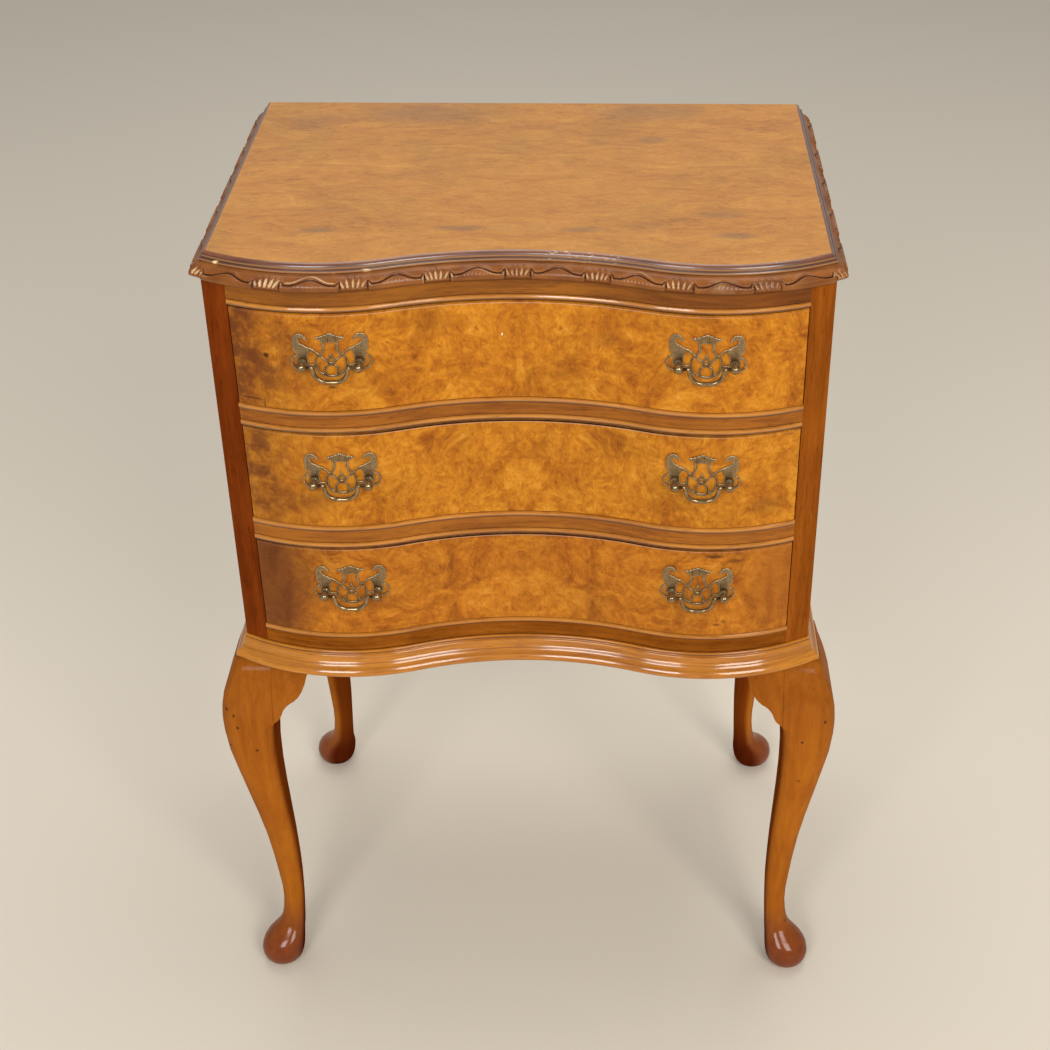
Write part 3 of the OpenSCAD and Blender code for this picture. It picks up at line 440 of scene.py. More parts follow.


# The moulded edge of the top board: dark wood with golden painted highlight lines and dark painted shade lines on its
# members, and worn places.
rimEdge = {
    "light": (0.20, 0.058, 0.018),
    "dark": (0.085, 0.021, 0.007),
    "grain": (14, 60, 240),
    "fleck": (160, 300, 700),
    "fleckColour": (0.70, 0.50, 0.28),
    "fleckPlaces": (13.0, 0.60),      # broad noise, and above what value of it there are flecks
    "fleckSize": 0.26,
    "fleckStrength": 0.55,
    "paintedHighlightLines": [(756.4, 1.0, 0.6), (754.1, 0.9, 0.7)],
    "goldColour": (0.40, 0.19, 0.06),
    "paintedShadeLines": [(757.8, 0.6, 0.5), (755.3, 0.45, 0.7), (752.9, 0.6, 0.7)],
    "coat": 0.9,
    "chips": [
        ((-229.9, -146.8), (3.2, 1.3), 1.0, (0.9, 0.66, 0.34)), ((-112, -159), (5, 1.0), 0.7, rubbedEdge),
        ((-84, -158.9), (5, 0.5), 0.45, rubbedEdge), ((-58, -151.6), (9, 0.9), 0.5, rubbedEdge),
        ((-38, -146.4), (6, 0.9), 0.6, rubbedEdge),
    ],
}


def rimColour(tree, raw, z, c):
    grain = noise(tree, placed(tree, raw, c["grain"]), 1.0, 4.0, 0.6)
    colour = ramp(tree, grain, [(0.34, c["dark"]), (0.66, c["light"])])
    cells = node(tree, "TexVoronoi", {"feature": "F1"}, Vector=placed(tree, raw, c["fleck"]), Scale=1.0, Randomness=1.0)
    broad, least = c["fleckPlaces"]
    rare = calc(tree, "GREATER_THAN", noise(tree, raw, broad, 1.0), least)
    flecks = times(tree, calc(tree, "LESS_THAN", cells.outputs["Distance"], c["fleckSize"]), rare, c["fleckStrength"])
    colour = mixColour(tree, flecks, colour, c["fleckColour"])
    # painted highlights on the reeds, then painted shade in the quirks between them
    colour = addLines(tree, colour, z, c["paintedHighlightLines"], c["goldColour"])
    colour = addLines(tree, colour, z, c["paintedShadeLines"], darkKnotAndShade)
    return addMarks(tree, colour, c["chips"], (0, 1), raw)


def burrVeneer(name, kind, gloss):
    material, tree, shader = newMaterial(name)
    raw = node(tree, "TexCoord").outputs["Object"]
    axes = apart(tree, raw)
    reach = burrFigure["jointReach"]
    stray = calc(tree, "MULTIPLY_ADD", noise(tree, raw, *burrFigure["joint"]), reach, -reach / 2)
    half = calc(tree, "ABSOLUTE", calc(tree, "ADD", axes["X"], stray))    # opened like a book about the middle
    book = node(tree, "CombineXYZ", X=half, Y=axes["Y"], Z=axes["Z"]).outputs[0]
    colour, fibres = burrColour(tree, raw, axes["X"], book, kind, burrFigure)
    # the painted shadow and highlight of the gap above this front
    if "gap" in kind:
        colour = addGapShadow(tree, colour, axes, kind["gap"], gapShadowAndHighlight)
    if "rim" in kind:
        veneered = calc(tree, "GREATER_THAN", axes["Z"], kind["rim"])
        colour = mixColour(tree, veneered, rimColour(tree, raw, axes["Z"], rimEdge), colour)
        coat = calc(tree, "MULTIPLY_ADD", veneered, gloss["coat"] - rimEdge["coat"], rimEdge["coat"])
        tree.links.new(coat, shader.inputs["Coat Weight"])
    polish(tree, shader, colour, fibres, gloss)
    return material


# Straight-grained wood: light and dark, and how fine the grain runs each way. lines and marks are in millimetres;
# the lines are dark joints and painted shade. shade is painted shade along an axis: the axis, where it starts and
# stops, and its tint. run means that the grain follows the moulding.
woodKinds = {
    "railWood": {
        "light": (0.38, 0.124, 0.011), "dark": (0.19, 0.052, 0.005), "scale": (9, 60, 190),
        "lines": [(508.9, 0.7, 0.7), (520.4, 0.7, 0.7), (618.9, 0.7, 0.7), (629.4, 0.7, 0.7)],
    },
    "friezeWood": {
        "light": (0.32, 0.108, 0.009), "dark": (0.165, 0.048, 0.005), "scale": (9, 60, 190),
        # the line at 737.6 is a painted shadow under the carved moulding; the line at 725.4 is a joint
        "lines": [(725.4, 0.7, 0.7), (737.6, 0.8, 0.6)],
        # painted shade: the right end of the frieze darker
        "shade": (0, 0.02, 0.2, (0.66, 0.56, 0.6)),
    },
    "lowRailWood": {
        "light": (0.32, 0.096, 0.009), "dark": (0.155, 0.040, 0.004), "scale": (9, 60, 190),
        "lines": [(410.9, 0.7, 0.7), (397.8, 0.8, 0.8)],
    },
    "stileWood": {
        "light": (0.335, 0.092, 0.009), "dark": (0.19, 0.046, 0.005), "scale": (150, 60, 9),
        # painted shade: the left stile darker than the right
        "shade": (0, 0.12, -0.12, (0.64, 0.46, 0.6)),
    },
    "beadWood": {
        "light": (0.58, 0.230, 0.032), "dark": (0.38, 0.130, 0.014), "scale": (9, 60, 240),
        # painted shade along the lower side of each cock bead
        "lines": [(z + 0.8, 1.5, 0.75) for z in (411.3, 504.5, 520.8, 614.5, 629.8, 721.0)],
    },
    "baseWood": {
        "light": (0.56, 0.205, 0.009), "dark": (0.33, 0.098, 0.005), "scale": (10, 210, 60), "run": True,
        # painted shade in the quirk under the top bead, in the small quirk lower down, and along the foot
        "lines": [(394.4, 0.6, 0.9), (385.9, 0.5, 0.4), (375.4, 0.9, 0.6)],
    },
    "carvedWood": {"light": (0.40, 0.135, 0.028), "dark": (0.24, 0.070, 0.014), "scale": (9, 60, 170)},
    "legWood": {
        "light": (0.45, 0.138, 0.010), "dark": (0.33, 0.088, 0.006), "scale": (150, 150, 8), "pores": 0.25,
        # painted shade: the top of the leg darker, in under the chest
        "shade": (2, 0.27, 0.36, (0.76, 0.74, 0.95)),
        "knots": [
            (-265.5, -165, 330), (-259, -165, 325.5), (-266.5, -165, 288), (-242, -165, 286),
            (-223, -165, 173), (-256.5, -165, 313), (243, -165, 300), (262, -165, 322),
        ],
        "knotHalf": (1.5, 30, 1.8), "knotStrength": 0.85,
        "pins": legPins,
        "foot": {"top": 0.078, "low": 0.020, "tint": (0.50, 0.345, 0.62), "coat": 0.55},    # redder and glossier
        # painted shade on the faces in under the chest
        "inner": (0.42, 0.30, 0.45),      # tint of the faces in under the chest
    },
    "liningWood": {"light": (0.62, 0.44, 0.25), "dark": (0.42, 0.27, 0.13), "scale": (90, 12, 120)},
    "plainWood": {"light": (0.58, 0.40, 0.22), "dark": (0.40, 0.24, 0.11), "scale": (12, 90, 120)},
}


# What all straight-grained wood shares. A noise is its scale, detail, roughness and distortion.
grainFigure = {
    "stray": (6.0, 0.012),
    "grain": (1.0, 5.0, 0.62, 0.25),
    "patches": 14.0,
    "shares": (0.6, 0.4),      # of grain and patches
    "steps": (0.36, 0.62),
    "pores": (1.0, 2.0, 0.5),
    "poreSteps": (0.30, 0.44),
    "poreTint": (0.46, 0.38, 0.32),
    "poreStrength": 0.55,
}


# grain with broader patches in it
def grainColour(tree, grain, patches, kind):
    ofGrain, ofPatches = grainFigure["shares"]
    tone = calc(tree, "ADD", times(tree, grain, ofGrain), times(tree, patches, ofPatches))
    return ramp(tree, tone, list(zip(grainFigure["steps"], (kind["dark"], kind["light"]))))


def straightWood(name, kind, gloss, f):
    material, tree, shader = newMaterial(name)
    raw = node(tree, "TexCoord").outputs["Object"]
    axes = apart(tree, raw)
    loose = warped(tree, fromPiece(tree, "run", "Vector") if kind.get("run") else raw, *f["stray"])
    grain = noise(tree, placed(tree, loose, kind["scale"]), *f["grain"])
    poreScale = tuple(s * 5 if s > 20 else s * 8 for s in kind["scale"])
    pores = noise(tree, placed(tree, loose, poreScale), *f["pores"])
    pores = ramp(tree, pores, list(zip(f["poreSteps"], (f["poreTint"], white))))
    colour = grainColour(tree, grain, noise(tree, raw, f["patches"]), kind)
    colour = mixColour(tree, kind.get("pores", f["poreStrength"]), colour, pores, "MULTIPLY")
    if "pins" in kind:
        colour = addPins(tree, colour, loose, kind["pins"])
    if "lines" in kind:
        # dark joints, and lines of painted shade
        colour = addLines(tree, colour, axes["Z"], kind["lines"], seamAndShadeLine)
    if "knots" in kind:
        knots = [(knot, kind["knotHalf"], kind["knotStrength"], darkKnotAndShade) for knot in kind["knots"]]
        colour = addMarks(tree, colour, knots, (0, 1, 2), raw)
    # painted shade: darker along an axis
    if "shade" in kind:
        axis, start, stop, tint = kind["shade"]
        colour = mixColour(tree, fade(tree, axes[axis], start, stop), colour, tint, "MULTIPLY")
    if "foot" in kind:
        colour, coat = legPolish(tree, colour, axes["Z"], kind["foot"], kind["inner"], gloss["coat"])
        tree.links.new(coat, shader.inputs["Coat Weight"])
    polish(tree, shader, colour, grain, gloss)
    return material


# legs are red at the foot, have painted shade on the inside, and have no coat there
def legPolish(tree, colour, z, foot, inner, coat):
    low = fade(tree, z, foot["top"], foot["low"], kind="SMOOTHSTEP")
    colour = mixColour(tree, low, colour, foot["tint"], "MULTIPLY")
    # painted shade on the inner faces
    inside = fromPiece(tree, "inside")
    colour = mixColour(tree, inside, colour, inner, "MULTIPLY")
    shine = calc(tree, "MULTIPLY_ADD", low, foot["coat"], coat)
    return colour, times(tree, shine, calc(tree, "SUBTRACT", 1.0, inside))


# Carved wood: dirt and painted shade in the cuts, and lighter places that are worn high places and painted
# highlights, all from the wear that the carving leaves on its mesh.
carvedKind = {
    "light": (0.29, 0.097, 0.017), "dark": (0.145, 0.041, 0.008),
    # the dark of the cuts is dirt and painted shade; the light of high places is wear and painted highlight
    "dirtAndShade": (0.040, 0.012, 0.005), "dirtAndShadeWear": (0.14, 0.42),
    "worn": (0.66, 0.44, 0.23), "wornAndLitWear": (0.64, 0.93), "wornAndLitStrength": 0.85,
}


def carvedWood(name, kind, gloss):
    material, tree, shader = newMaterial(name)
    run, wear = fromPiece(tree, "run", "Vector"), fromPiece(tree, "wear")
    grain = noise(tree, placed(tree, warped(tree, run, 9.0, 0.01), (14, 260, 1)), 1.0, 4.0, 0.6)
    colour = grainColour(tree, grain, noise(tree, placed(tree, run), 60.0), kind)
    # dirt and painted shade in the cuts
    full, none = kind["dirtAndShadeWear"]
    colour = mixColour(tree, ramp(tree, wear, [(full, white), (none, black)]), colour, kind["dirtAndShade"])
    # worn high places and painted highlights
    wornAndLit = calc(tree, "MULTIPLY_ADD", noise(tree, run, 34.0, 2.0), 0.9, calc(tree, "SUBTRACT", wear, 0.45))
    none, full = kind["wornAndLitWear"]
    wornAndLit = ramp(tree, wornAndLit, [(none, black), (full, white)])
    colour = mixColour(tree, times(tree, wornAndLit, kind["wornAndLitStrength"]), colour, kind["worn"])
    polish(tree, shader, colour, grain, gloss)
    return material


# Aged brass. The plates are darker in their corners and worn bright along their edges.
brassPatina = {
    "scale": 260.0,
    "steps": (0.36, 0.64),
    "metallic": 0.85,
    "cornerShade": 0.3,
    "cornerWear": (0.10, 0.42),
    "edgeWear": (0.62, 0.9),
    "bump": (0.2, 0.0002),
}
brassKinds = {
    "plateBrass": {
        "light": (0.26, 0.155, 0.058), "dark": (0.13, 0.070, 0.024), "roughness": 0.33,
        "worn": (0.66, 0.52, 0.32),
    },
    "handleBrass": {"light": (0.36, 0.25, 0.125), "dark": (0.20, 0.125, 0.055), "roughness": 0.17},
}


def agedBrass(name, kind, p):
    material, tree, shader = newMaterial(name)
    patina = noise(tree, node(tree, "TexCoord").outputs["Object"], p["scale"], 4.0, 0.6)
    colour = ramp(tree, patina, list(zip(p["steps"], (kind["dark"], kind["light"]))))
    if "worn" in kind:
        rub = fromPiece(tree, "wear")
        corners = tuple(c * p["cornerShade"] for c in kind["dark"])
        colour = mixColour(tree, ramp(tree, rub, list(zip(p["cornerWear"], (white, black)))), colour, corners)
        colour = mixColour(tree, ramp(tree, rub, list(zip(p["edgeWear"], (black, white)))), colour, kind["worn"])
    tree.links.new(colour, shader.inputs["Base Color"])
    shader.inputs["Metallic"].default_value = p["metallic"]
    shader.inputs["Roughness"].default_value = kind["roughness"]
    roughen(tree, shader, patina, *p["bump"])
    return material


burrGloss = {"burrTop": topShine, "burrFront1": satin, "burrFront2": satin, "burrFront3": satin}
woodGloss = {
    "railWood": waxed, "friezeWood": waxed, "lowRailWood": dull, "stileWood": dull, "beadWood": polished,
    "baseWood": polished, "carvedWood": waxed, "legWood": legShine, "liningWood": bare, "plainWood": bare,
}
finishes = {name: burrVeneer(name, burrKinds[name], gloss) for name, gloss in burrGloss.items()}
finishes.update({name: straightWood(name, woodKinds[name], gloss, grainFigure) for name, gloss in woodGloss.items()})
finishes.update({name: agedBrass(name, kind, brassPatina) for name, kind in brassKinds.items()})
finishes["carvingWood"] = carvedWood("carvingWood", carvedKind, carvedShine)

# what each node is finished in, by the start of its name; the longest start that fits counts
nodeFinishes = {
    "top_board": "burrTop", "carved": "carvedWood", "side": "stileWood", "stile": "stileWood",
    "rail": "railWood", "rail_frieze": "friezeWood", "rail_bottom": "lowRailWood", "cock_beads": "beadWood",
    "base_moulding": "baseWood", "leg": "legWood", "brackets": "legWood", "back": "plainWood",
    "bottom": "plainWood", "base_frame": "railWood", "runners": "plainWood", "kickers": "plainWood",
    "drawer_front_1": "burrFront1", "drawer_front_2": "burrFront2", "drawer_front_3": "burrFront3",
    "drawer_side": "liningWood", "drawer_back": "liningWood", "drawer_bottom": "plainWood",
    "handle_plates": "plateBrass", "handle_posts": "handleBrass", "bail": "handleBrass",
}


def dress(thing, finish):
    thing.data.materials.clear()
    thing.data.materials.append(finish)


for name, thing in nodes.items():
    start = max((start for start in nodeFinishes if name.startswith(start)), key=len)
    dress(thing, finishes[nodeFinishes[start]])

print("carved moulding")

# The plan of the front, in millimetres: a hollow between two bulges, and corners that aren't square.
plan = {
    "crestX": 154.0, "crestR": 180.0, "bulgeY": 16.192, "hollowR": 306.815, "hollowY": -445.62,
    "turn": math.radians(18.442), "cornerX": 244.0, "cornerY": -139.692, "mitre": math.tan(math.radians(30)),
    "backY": 177.308,
}

carving = {
    "z": 738.0,
    "profile": [
        (0.3, 0), (3.4, 1.7), (6.6, 3.9), (7.5, 4.9), (7.6, 6), (7.2, 7.5), (6, 9.3), (4.3, 11.1),
        (2.3, 12.6), (0.6, 13.6), (-0.6, 14.6),
    ],
    "seat": -2.0,
    "row": 0.36,           # spacing of the rows round the profile
    "column": 0.5,         # spacing of the columns along the moulding
    "frontPitch": 62.73,   # from fan to fan
    "sidePitch": 63.4,
    "fanHalf": 10.2,
    "lineLow": 8.2,        # height of the arch line at its ends and its rise in the middle
    "lineRise": 3.5,
    "archHalf": 16.0,
    "flick": (2.2, 3.0),   # how far the line turns up at its ends, and over what length
    "edge": 0.7,           # how softly an arch ends against a fan
    "panelProud": 1.0,
    "panelEdge": 1.1,
    "panelFoot": (0.35, 1.6, 2.2),       # how much of it is left at the foot, and where it rises
    "groove": (0.85, 0.42),              # depth and half width of the arch line
    "roll": (0.3, 1.3, 0.7),             # the ridge over it: height, how far up, half width
    "tick": (0.85, 0.36, 0.12, 8),       # the slanting cut at an arch's end: depth, half width, slant, middle
    "tickReach": (5.0, 1.2, 11.4, 1.2),  # from where to where up the moulding, each with its soft end
    "ground": 0.35,
    "groundReach": (4.5, 1.5, 13.4, 2.0),
    "tooling": (0.05, 2.1, 3),
    "toolingReach": (4, 2, 13, 2),
    # the lit tables below are painted highlights on the arches, by their count from the middle
    "litRolls": {-5: 0.85, 3: 0.4},      # how pale arches are rubbed, by their count from the middle
    "litPanels": {5: 0.30, 7: 0.26, 3: 0.12, -5: 0.16},
    "litFeet": {-5: 0.5},
    "scoopDepth": 1.15,
    "leafFoot": 3.2,       # spacing of the leaves of a fan at their feet and heads
    "leafHead": 5.0,
    "leafHeights": (5.2, 13.6),
    "leafWidth": 1.45,
    "leafSway": (0.5, 1.2),              # how unevenly feet and heads lie
    "leafEnds": (0.12, 0.45, 0.6),       # outer leaves start later and stop sooner, unevenly
    "leafTaper": (5, 2.2),
    # the dark beside a leaf is painted shade
    "leafCut": (0.55, 0.85),             # width and darkness of the cut beside a leaf
}


def ease(value):
    value = max(0.0, min(1.0, value))
    return value * value * (3 - 2 * value)


# how far a point is inside a soft-ended stretch, from 0 to 1
def within(value, start, rise, stop, fall):
    return ease((value - start) / rise) * ease((stop - value) / fall)


def ridge(value, width):
    return math.exp(-(value / width) ** 2)


# small differences from leaf to leaf, as from a hand
def handJitter(first, second):
    return (math.sin(first * 12.9898 + second * 78.233) * 43758.5453) % 1.0 - 0.5


def archLine(a, c):
    end = c["frontPitch"] / 2 - c["fanHalf"]
    rise = 0.5 + 0.5 * math.cos(math.pi * min(a / c["archHalf"], 1.0))
    up, length = c["flick"]
    return c["lineLow"] + c["lineRise"] * rise + up * ease((a - end + length) / length)


# how deep the leaves of a fan are cut at a point, with a painted highlight along one side of each leaf and
# painted shade beside it
def fanLeaves(t, z, fan, c):
    cut, glow = 0.0, 0.0
    start, stop = c["leafHeights"]
    late, soon, uneven = c["leafEnds"]
    edge, dark = c["leafCut"]
    for leaf in range(-2, 3):
        bend = handJitter(fan, leaf)
        foot, head = c["leafFoot"] * leaf + c["leafSway"][0] * bend, c["leafHead"] * leaf + c["leafSway"][1] * bend
        low, high = start + late * leaf * leaf, stop - soon * leaf * leaf + uneven * handJitter(leaf, fan)
        q = (z - low) / (high - low)
        if not 0.0 < q < 1.0:
            continue
        across = t - (foot + (head - foot) * q ** 1.3)
        width = c["leafWidth"] * math.sin(math.pi * (0.16 + 0.84 * q ** 0.8)) ** 0.6 + 0.2
        taper = min(1.0, c["leafTaper"][0] * q, c["leafTaper"][1] * (1 - q))
        if abs(across) < width:
            cut = min(cut, -c["scoopDepth"] * (1 - (across / width) ** 2) * taper)
            glow = max(glow, ease((0.5 * width - across) / width) * taper)
        elif abs(across) < width + edge:
            glow = min(glow, -dark * taper)
    return cut, glow


# How far the carving stands out or is cut in at a point of the moulding, and the painted highlight and shade it
# has there. s runs along the moulding, z up it, t across a fan, and a from the middle of an arch.
def carvedHeight(s, z, pitch, c):
    fan = round(s / pitch)
    t = s - fan * pitch
    a = pitch / 2 - abs(t)
    end = pitch / 2 - c["fanHalf"]
    line = archLine(a, c)
    inArch = ease((end - a) / c["edge"])
    left, foot, over = c["panelFoot"]
    panel = c["panelProud"] * ease((line - z) / c["panelEdge"]) * inArch * (left + (1 - left) * ease((z - foot) / over))
    depth, half = c["groove"]
    groove = -depth * ridge(z - line, half) * inArch
    height, up, half = c["roll"]
    roll = height * ridge(z - line - up, half) * inArch
    depth, half, slant, middle = c["tick"]
    tick = -depth * ridge(a - end - 0.5 + slant * (z - middle), half) * within(z, *c["tickReach"])
    inFan = ease(c["fanHalf"] - abs(t))
    ground = c["ground"] * inFan * within(z, *c["groundReach"])
    depth, pitch, wave = c["tooling"]
    tooled = depth * math.sin(s * pitch + wave * math.sin(z)) * within(z, *c["toolingReach"])
    cut, glow = fanLeaves(t, z, fan, c)
    arch = 2 * fan + (1 if t > 0 else -1)
    # painted highlights: along the ridge over the arch line, on the panels and at their feet
    pale = c["litRolls"].get(arch, 0.0) * ease(1 - abs(z - line - 1.6) / 0.8) * ease((end - a - 2) / 3)
    pale = max(pale, c["litPanels"].get(arch, 0.0) * within(z, 0.6, 1.0, line - 1.0, 1.2) * ease((end - a) / 3))
    pale = max(pale, c["litFeet"].get(arch, 0.1) * ease((3.2 - z) / 1.4) * ease((end - a) / 3))
    return panel + groove + roll + tick + ground + tooled + cut * inFan, glow * inFan + pale


# a smooth curve through the points of a profile, at an even spacing
def smoothProfile(points, spacing):
    rows = []
    for i in range(len(points) - 1):
        before, start, stop, after = (Vector(points[min(max(i + k, 0), len(points) - 1)]) for k in (-1, 0, 1, 2))
        steps = max(1, round((stop - start).length / spacing))
        for step in range(steps + (i == len(points) - 2)):
            u = step / steps
            rows.append(0.5 * (2 * start + (stop - before) * u + (2 * before - 5 * start + 4 * stop - after) * u * u
                + (3 * start - before - 3 * stop + after) * u ** 3))
    return rows


def rowNormals(rows):
    normals = []
    for i in range(len(rows)):
        along = rows[min(i + 1, len(rows) - 1)] - rows[max(i - 1, 0)]
        normals.append(Vector((along.y, -along.x)).normalized())
    return normals


# the place on the front at a run s from its middle, d in front of the case
def frontPlace(s, d, p):
    side, run = (1 if s >= 0 else -1), abs(s)
    hollowRun = p["hollowR"] * p["turn"]
    if run < hollowRun:
        angle = run / p["hollowR"]
        x, y = (p["hollowR"] - d) * math.sin(angle), p["hollowY"] + (p["hollowR"] - d) * math.cos(angle)
    else:
        m, r = p["mitre"], p["crestR"] + d
        reach = p["cornerY"] - p["bulgeY"] + (p["cornerX"] - p["crestX"]) * m
        last = math.atan2(1, m) + math.asin(reach / (r * math.sqrt(1 + m * m)))
        square = math.atan2(1, m) + math.asin(reach / (p["crestR"] * math.sqrt(1 + m * m)))
        angle = -p["turn"] + (run - hollowRun) / p["crestR"] * (last + p["turn"]) / (square + p["turn"])
        x, y = p["crestX"] + r * math.sin(angle), p["bulgeY"] - r * math.cos(angle)
    return side * x, y


def sidePlace(s, d, side, p):
    start = p["cornerY"] - p["mitre"] * d
    return side * (p["cornerX"] + d), start + (p["backY"] - start) * s / (p["backY"] - p["cornerY"])


def leftPlace(s, d, p):
    return sidePlace(s, d, -1, p)


def rightPlace(s, d, p):
    return sidePlace(s, d, 1, p)


# A length of moulding: a grid, with its rows laid round the profile and its columns along the front or a side. It is
# carved where it has a pitch. The first and last row are the seat against the case.
def mouldingStrip(name, place, first, last, pitch, c, p):
    rows = smoothProfile(c["profile"], c["row"])
    count, normals = len(rows), rowNormals(rows)
    columns = round((last - first) / c["column"])
    bpy.ops.mesh.primitive_grid_add(x_subdivisions=columns, y_subdivisions=count + 1, size=1)
    strip = bpy.context.object
    strip.name = name
    heights, spots = {}, []
    for v in strip.data.vertices:
        column, row = round((v.co.x + 0.5) * columns), round((v.co.y + 0.5) * (count + 1))
        s = first + (last - first) * column / columns
        h, glow = 0.0, 0.0
        if 1 <= row <= count:
            at, out = rows[row - 1], normals[row - 1]
            if pitch:
                h, glow = carvedHeight(s, at.y, pitch, c)
            d, z = at.x + out.x * h, at.y + out.y * h
            if row in (1, count):
                d, z = at.x, at.y
        else:
            d, z = c["seat"], c["profile"][0 if row == 0 else -1][1]
        heights[column, row] = h
        spots.append((column, row, s, glow))
        x, y = place(s, d, p)
        v.co = Vector((x, y, c["z"] + z)) / 1000
    wearAndRun(strip, heights, spots, c, mouldingWear)
    closeStrip(strip, columns, count)
    return strip


# Wear goes from cuts at 0 to worn ridges at 1, and the painted highlights and shade of the carving move it
# up and down. rest is the plain surface.
mouldingWear = {
    "rest": 0.45,
    "ridge": 0.4,
    "cut": 0.75,
    "glow": 0.48,
    "around": ((-2, 0), (2, 0), (0, -2), (0, 2), (-3, -3), (3, 3), (-3, 3), (3, -3)),    # what a point is compared with
}


# what the wood reads from the mesh: its wear with the carving's painted highlight and shade in it, and where a
# point is along the moulding
def wearAndRun(strip, heights, spots, c, w):
    wear = strip.data.attributes.new("wear", "FLOAT", "POINT")
    run = strip.data.attributes.new("run", "FLOAT_VECTOR", "POINT")
    for i, (column, row, s, glow) in enumerate(spots):
        around = [heights.get((column + dx, row + dy), 0.0) for dx, dy in w["around"]]
        edge = heights[column, row] - sum(around) / len(around)
        edge = 0.0 if glow > 0 else edge * (w["ridge"] if edge > 0 else w["cut"])
        wear.data[i].value = max(0.0, min(1.0, w["rest"] + edge + w["glow"] * glow))
        run.data[i].vector = (s / 1000, row * c["row"] / 1000, 0.0)


# closes the back between the two seat rows, and both ends
def closeStrip(strip, columns, count):
    bpy.ops.object.mode_set(mode="EDIT")
    bpy.ops.mesh.select_mode(type="EDGE")
    bpy.ops.mesh.select_all(action="DESELECT")
    shape = bmesh.from_edit_mesh(strip.data)
    shape.verts.ensure_lookup_table()
    seat = {v.index for v in shape.verts if v.index < columns + 1 or v.index >= (columns + 1) * (count + 1)}
    for edge in shape.edges:
        edge.select_set(edge.is_boundary and edge.verts[0].index in seat and edge.verts[1].index in seat)
    bmesh.update_edit_mesh(strip.data)
    bpy.ops.mesh.bridge_edge_loops()
    bpy.ops.mesh.select_all(action="DESELECT")
    shape = bmesh.from_edit_mesh(strip.data)
    for edge in shape.edges:
        edge.select_set(edge.is_boundary)
    bmesh.update_edit_mesh(strip.data)
    bpy.ops.mesh.edge_face_add()
    bpy.ops.mesh.select_all(action="SELECT")
    bpy.ops.mesh.quads_convert_to_tris(quad_method="BEAUTY", ngon_method="BEAUTY")
    bpy.ops.mesh.normals_make_consistent(inside=False)
    bpy.ops.object.mode_set(mode="OBJECT")
    bpy.ops.object.shade_smooth_by_angle(angle=math.radians(55))
    bpy.ops.object.select_all(action="DESELECT")


# the same moulding along the front and both sides, each standing for its own node
def mouldings(name, stands, finish, c, p):
    half = p["hollowR"] * p["turn"] + p["crestR"] * (p["turn"] + math.radians(30))
    length = p["backY"] - p["cornerY"]
    runs = {
        "front": (frontPlace, -half, half, c.get("frontPitch")),
        "left": (leftPlace, 0, length, c.get("sidePitch")),
        "right": (rightPlace, 0, length, c.get("sidePitch")),
    }
    for side, run in runs.items():
        piece = mouldingStrip(name + side.title(), *run, c, p)
        dress(piece, finishes[finish])
        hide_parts(stands + "_" + side)
        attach(piece, "case")
        print(piece.name, len(piece.data.polygons), "faces")


mouldings("carved", "carved_moulding", "carvingWood", carving, plan)

print("base moulding")

# The base moulding with its small quirks, from the foot up.
baseMoulding = {
    "z": 375.0,
    "profile": [
        (7.8, 0), (9.8, 0.8), (10.6, 2.6), (10.4, 4.4), (9.7, 5.7), (8.7, 6.9), (7.1, 7.9), (5.8, 9.2),
        (5.05, 10.3), (4.85, 10.9), (4.3, 11.5), (3.6, 12.6), (3.2, 13.8), (3.0, 15.4), (2.85, 16.8),
        (2.5, 17.8), (1.8, 18.4), (1.1, 18.7), (0.8, 19.2), (0.9, 20), (1.7, 20.5), (1.95, 21.1),
        (1.8, 21.9), (1.1, 22.4), (0.2, 22.4),
    ],
    "seat": -1.0,
    "row": 0.45,
    "column": 1.6,
}

mouldings("baseMoulding", "base_moulding", "baseWood", baseMoulding, plan)

print("legs and handles")


# a copy of a node with its own merged mesh
def ownCopy(name, source):
    bpy.ops.object.select_all(action="DESELECT")
    nodes[source].select_set(True)
    bpy.context.view_layer.objects.active = nodes[source]
    bpy.ops.object.duplicate(linked=False)
    piece = bpy.context.object
    piece.name = name
    bpy.ops.object.parent_clear(type="CLEAR_KEEP_TRANSFORM")
    del piece["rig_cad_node"], piece["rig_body"]
    bpy.ops.object.mode_set(mode="EDIT")
    bpy.ops.mesh.select_all(action="SELECT")
    bpy.ops.mesh.remove_doubles(threshold=0.00001)
    bpy.ops.object.mode_set(mode="OBJECT")
    return piece


# CAD node: the piece that stands for it, its body, its slot, and the angle up to which it is shaded smooth
smoothPieces = {}
for end in ("front", "back"):
    for side in ("left", "right"):
        smoothPieces["leg_" + end + "_" + side] = ("leg" + end.title() + side.title(), "case", "leg_walnut", 42)
for row in "123":
    smoothPieces["handle_posts_" + row] = ("turnedPosts" + row, "drawer_" + row, "brass", 48)
    for side in ("left", "right"):
        bail = "bail_" + side + "_" + row
        smoothPieces[bail] = ("castBail" + side.title() + row, bail, "brass", 60)


legInside = {"inward": (1, 0.75, 0.15), "start": 0.15, "over": 0.5}


# how far each part of a leg faces in under the chest, where it gets painted shade and is never polished
def markInside(leg, c):
    inside = leg.data.attributes.new("inside", "FLOAT", "POINT")
    x, y, z = c["inward"]
    for i, v in enumerate(leg.data.vertices):
        inward = Vector((-math.copysign(x, v.co.x), -math.copysign(y, v.co.y), -z)).normalized()
        inside.data[i].value = ease((v.normal.dot(inward) - c["start"]) / c["over"])


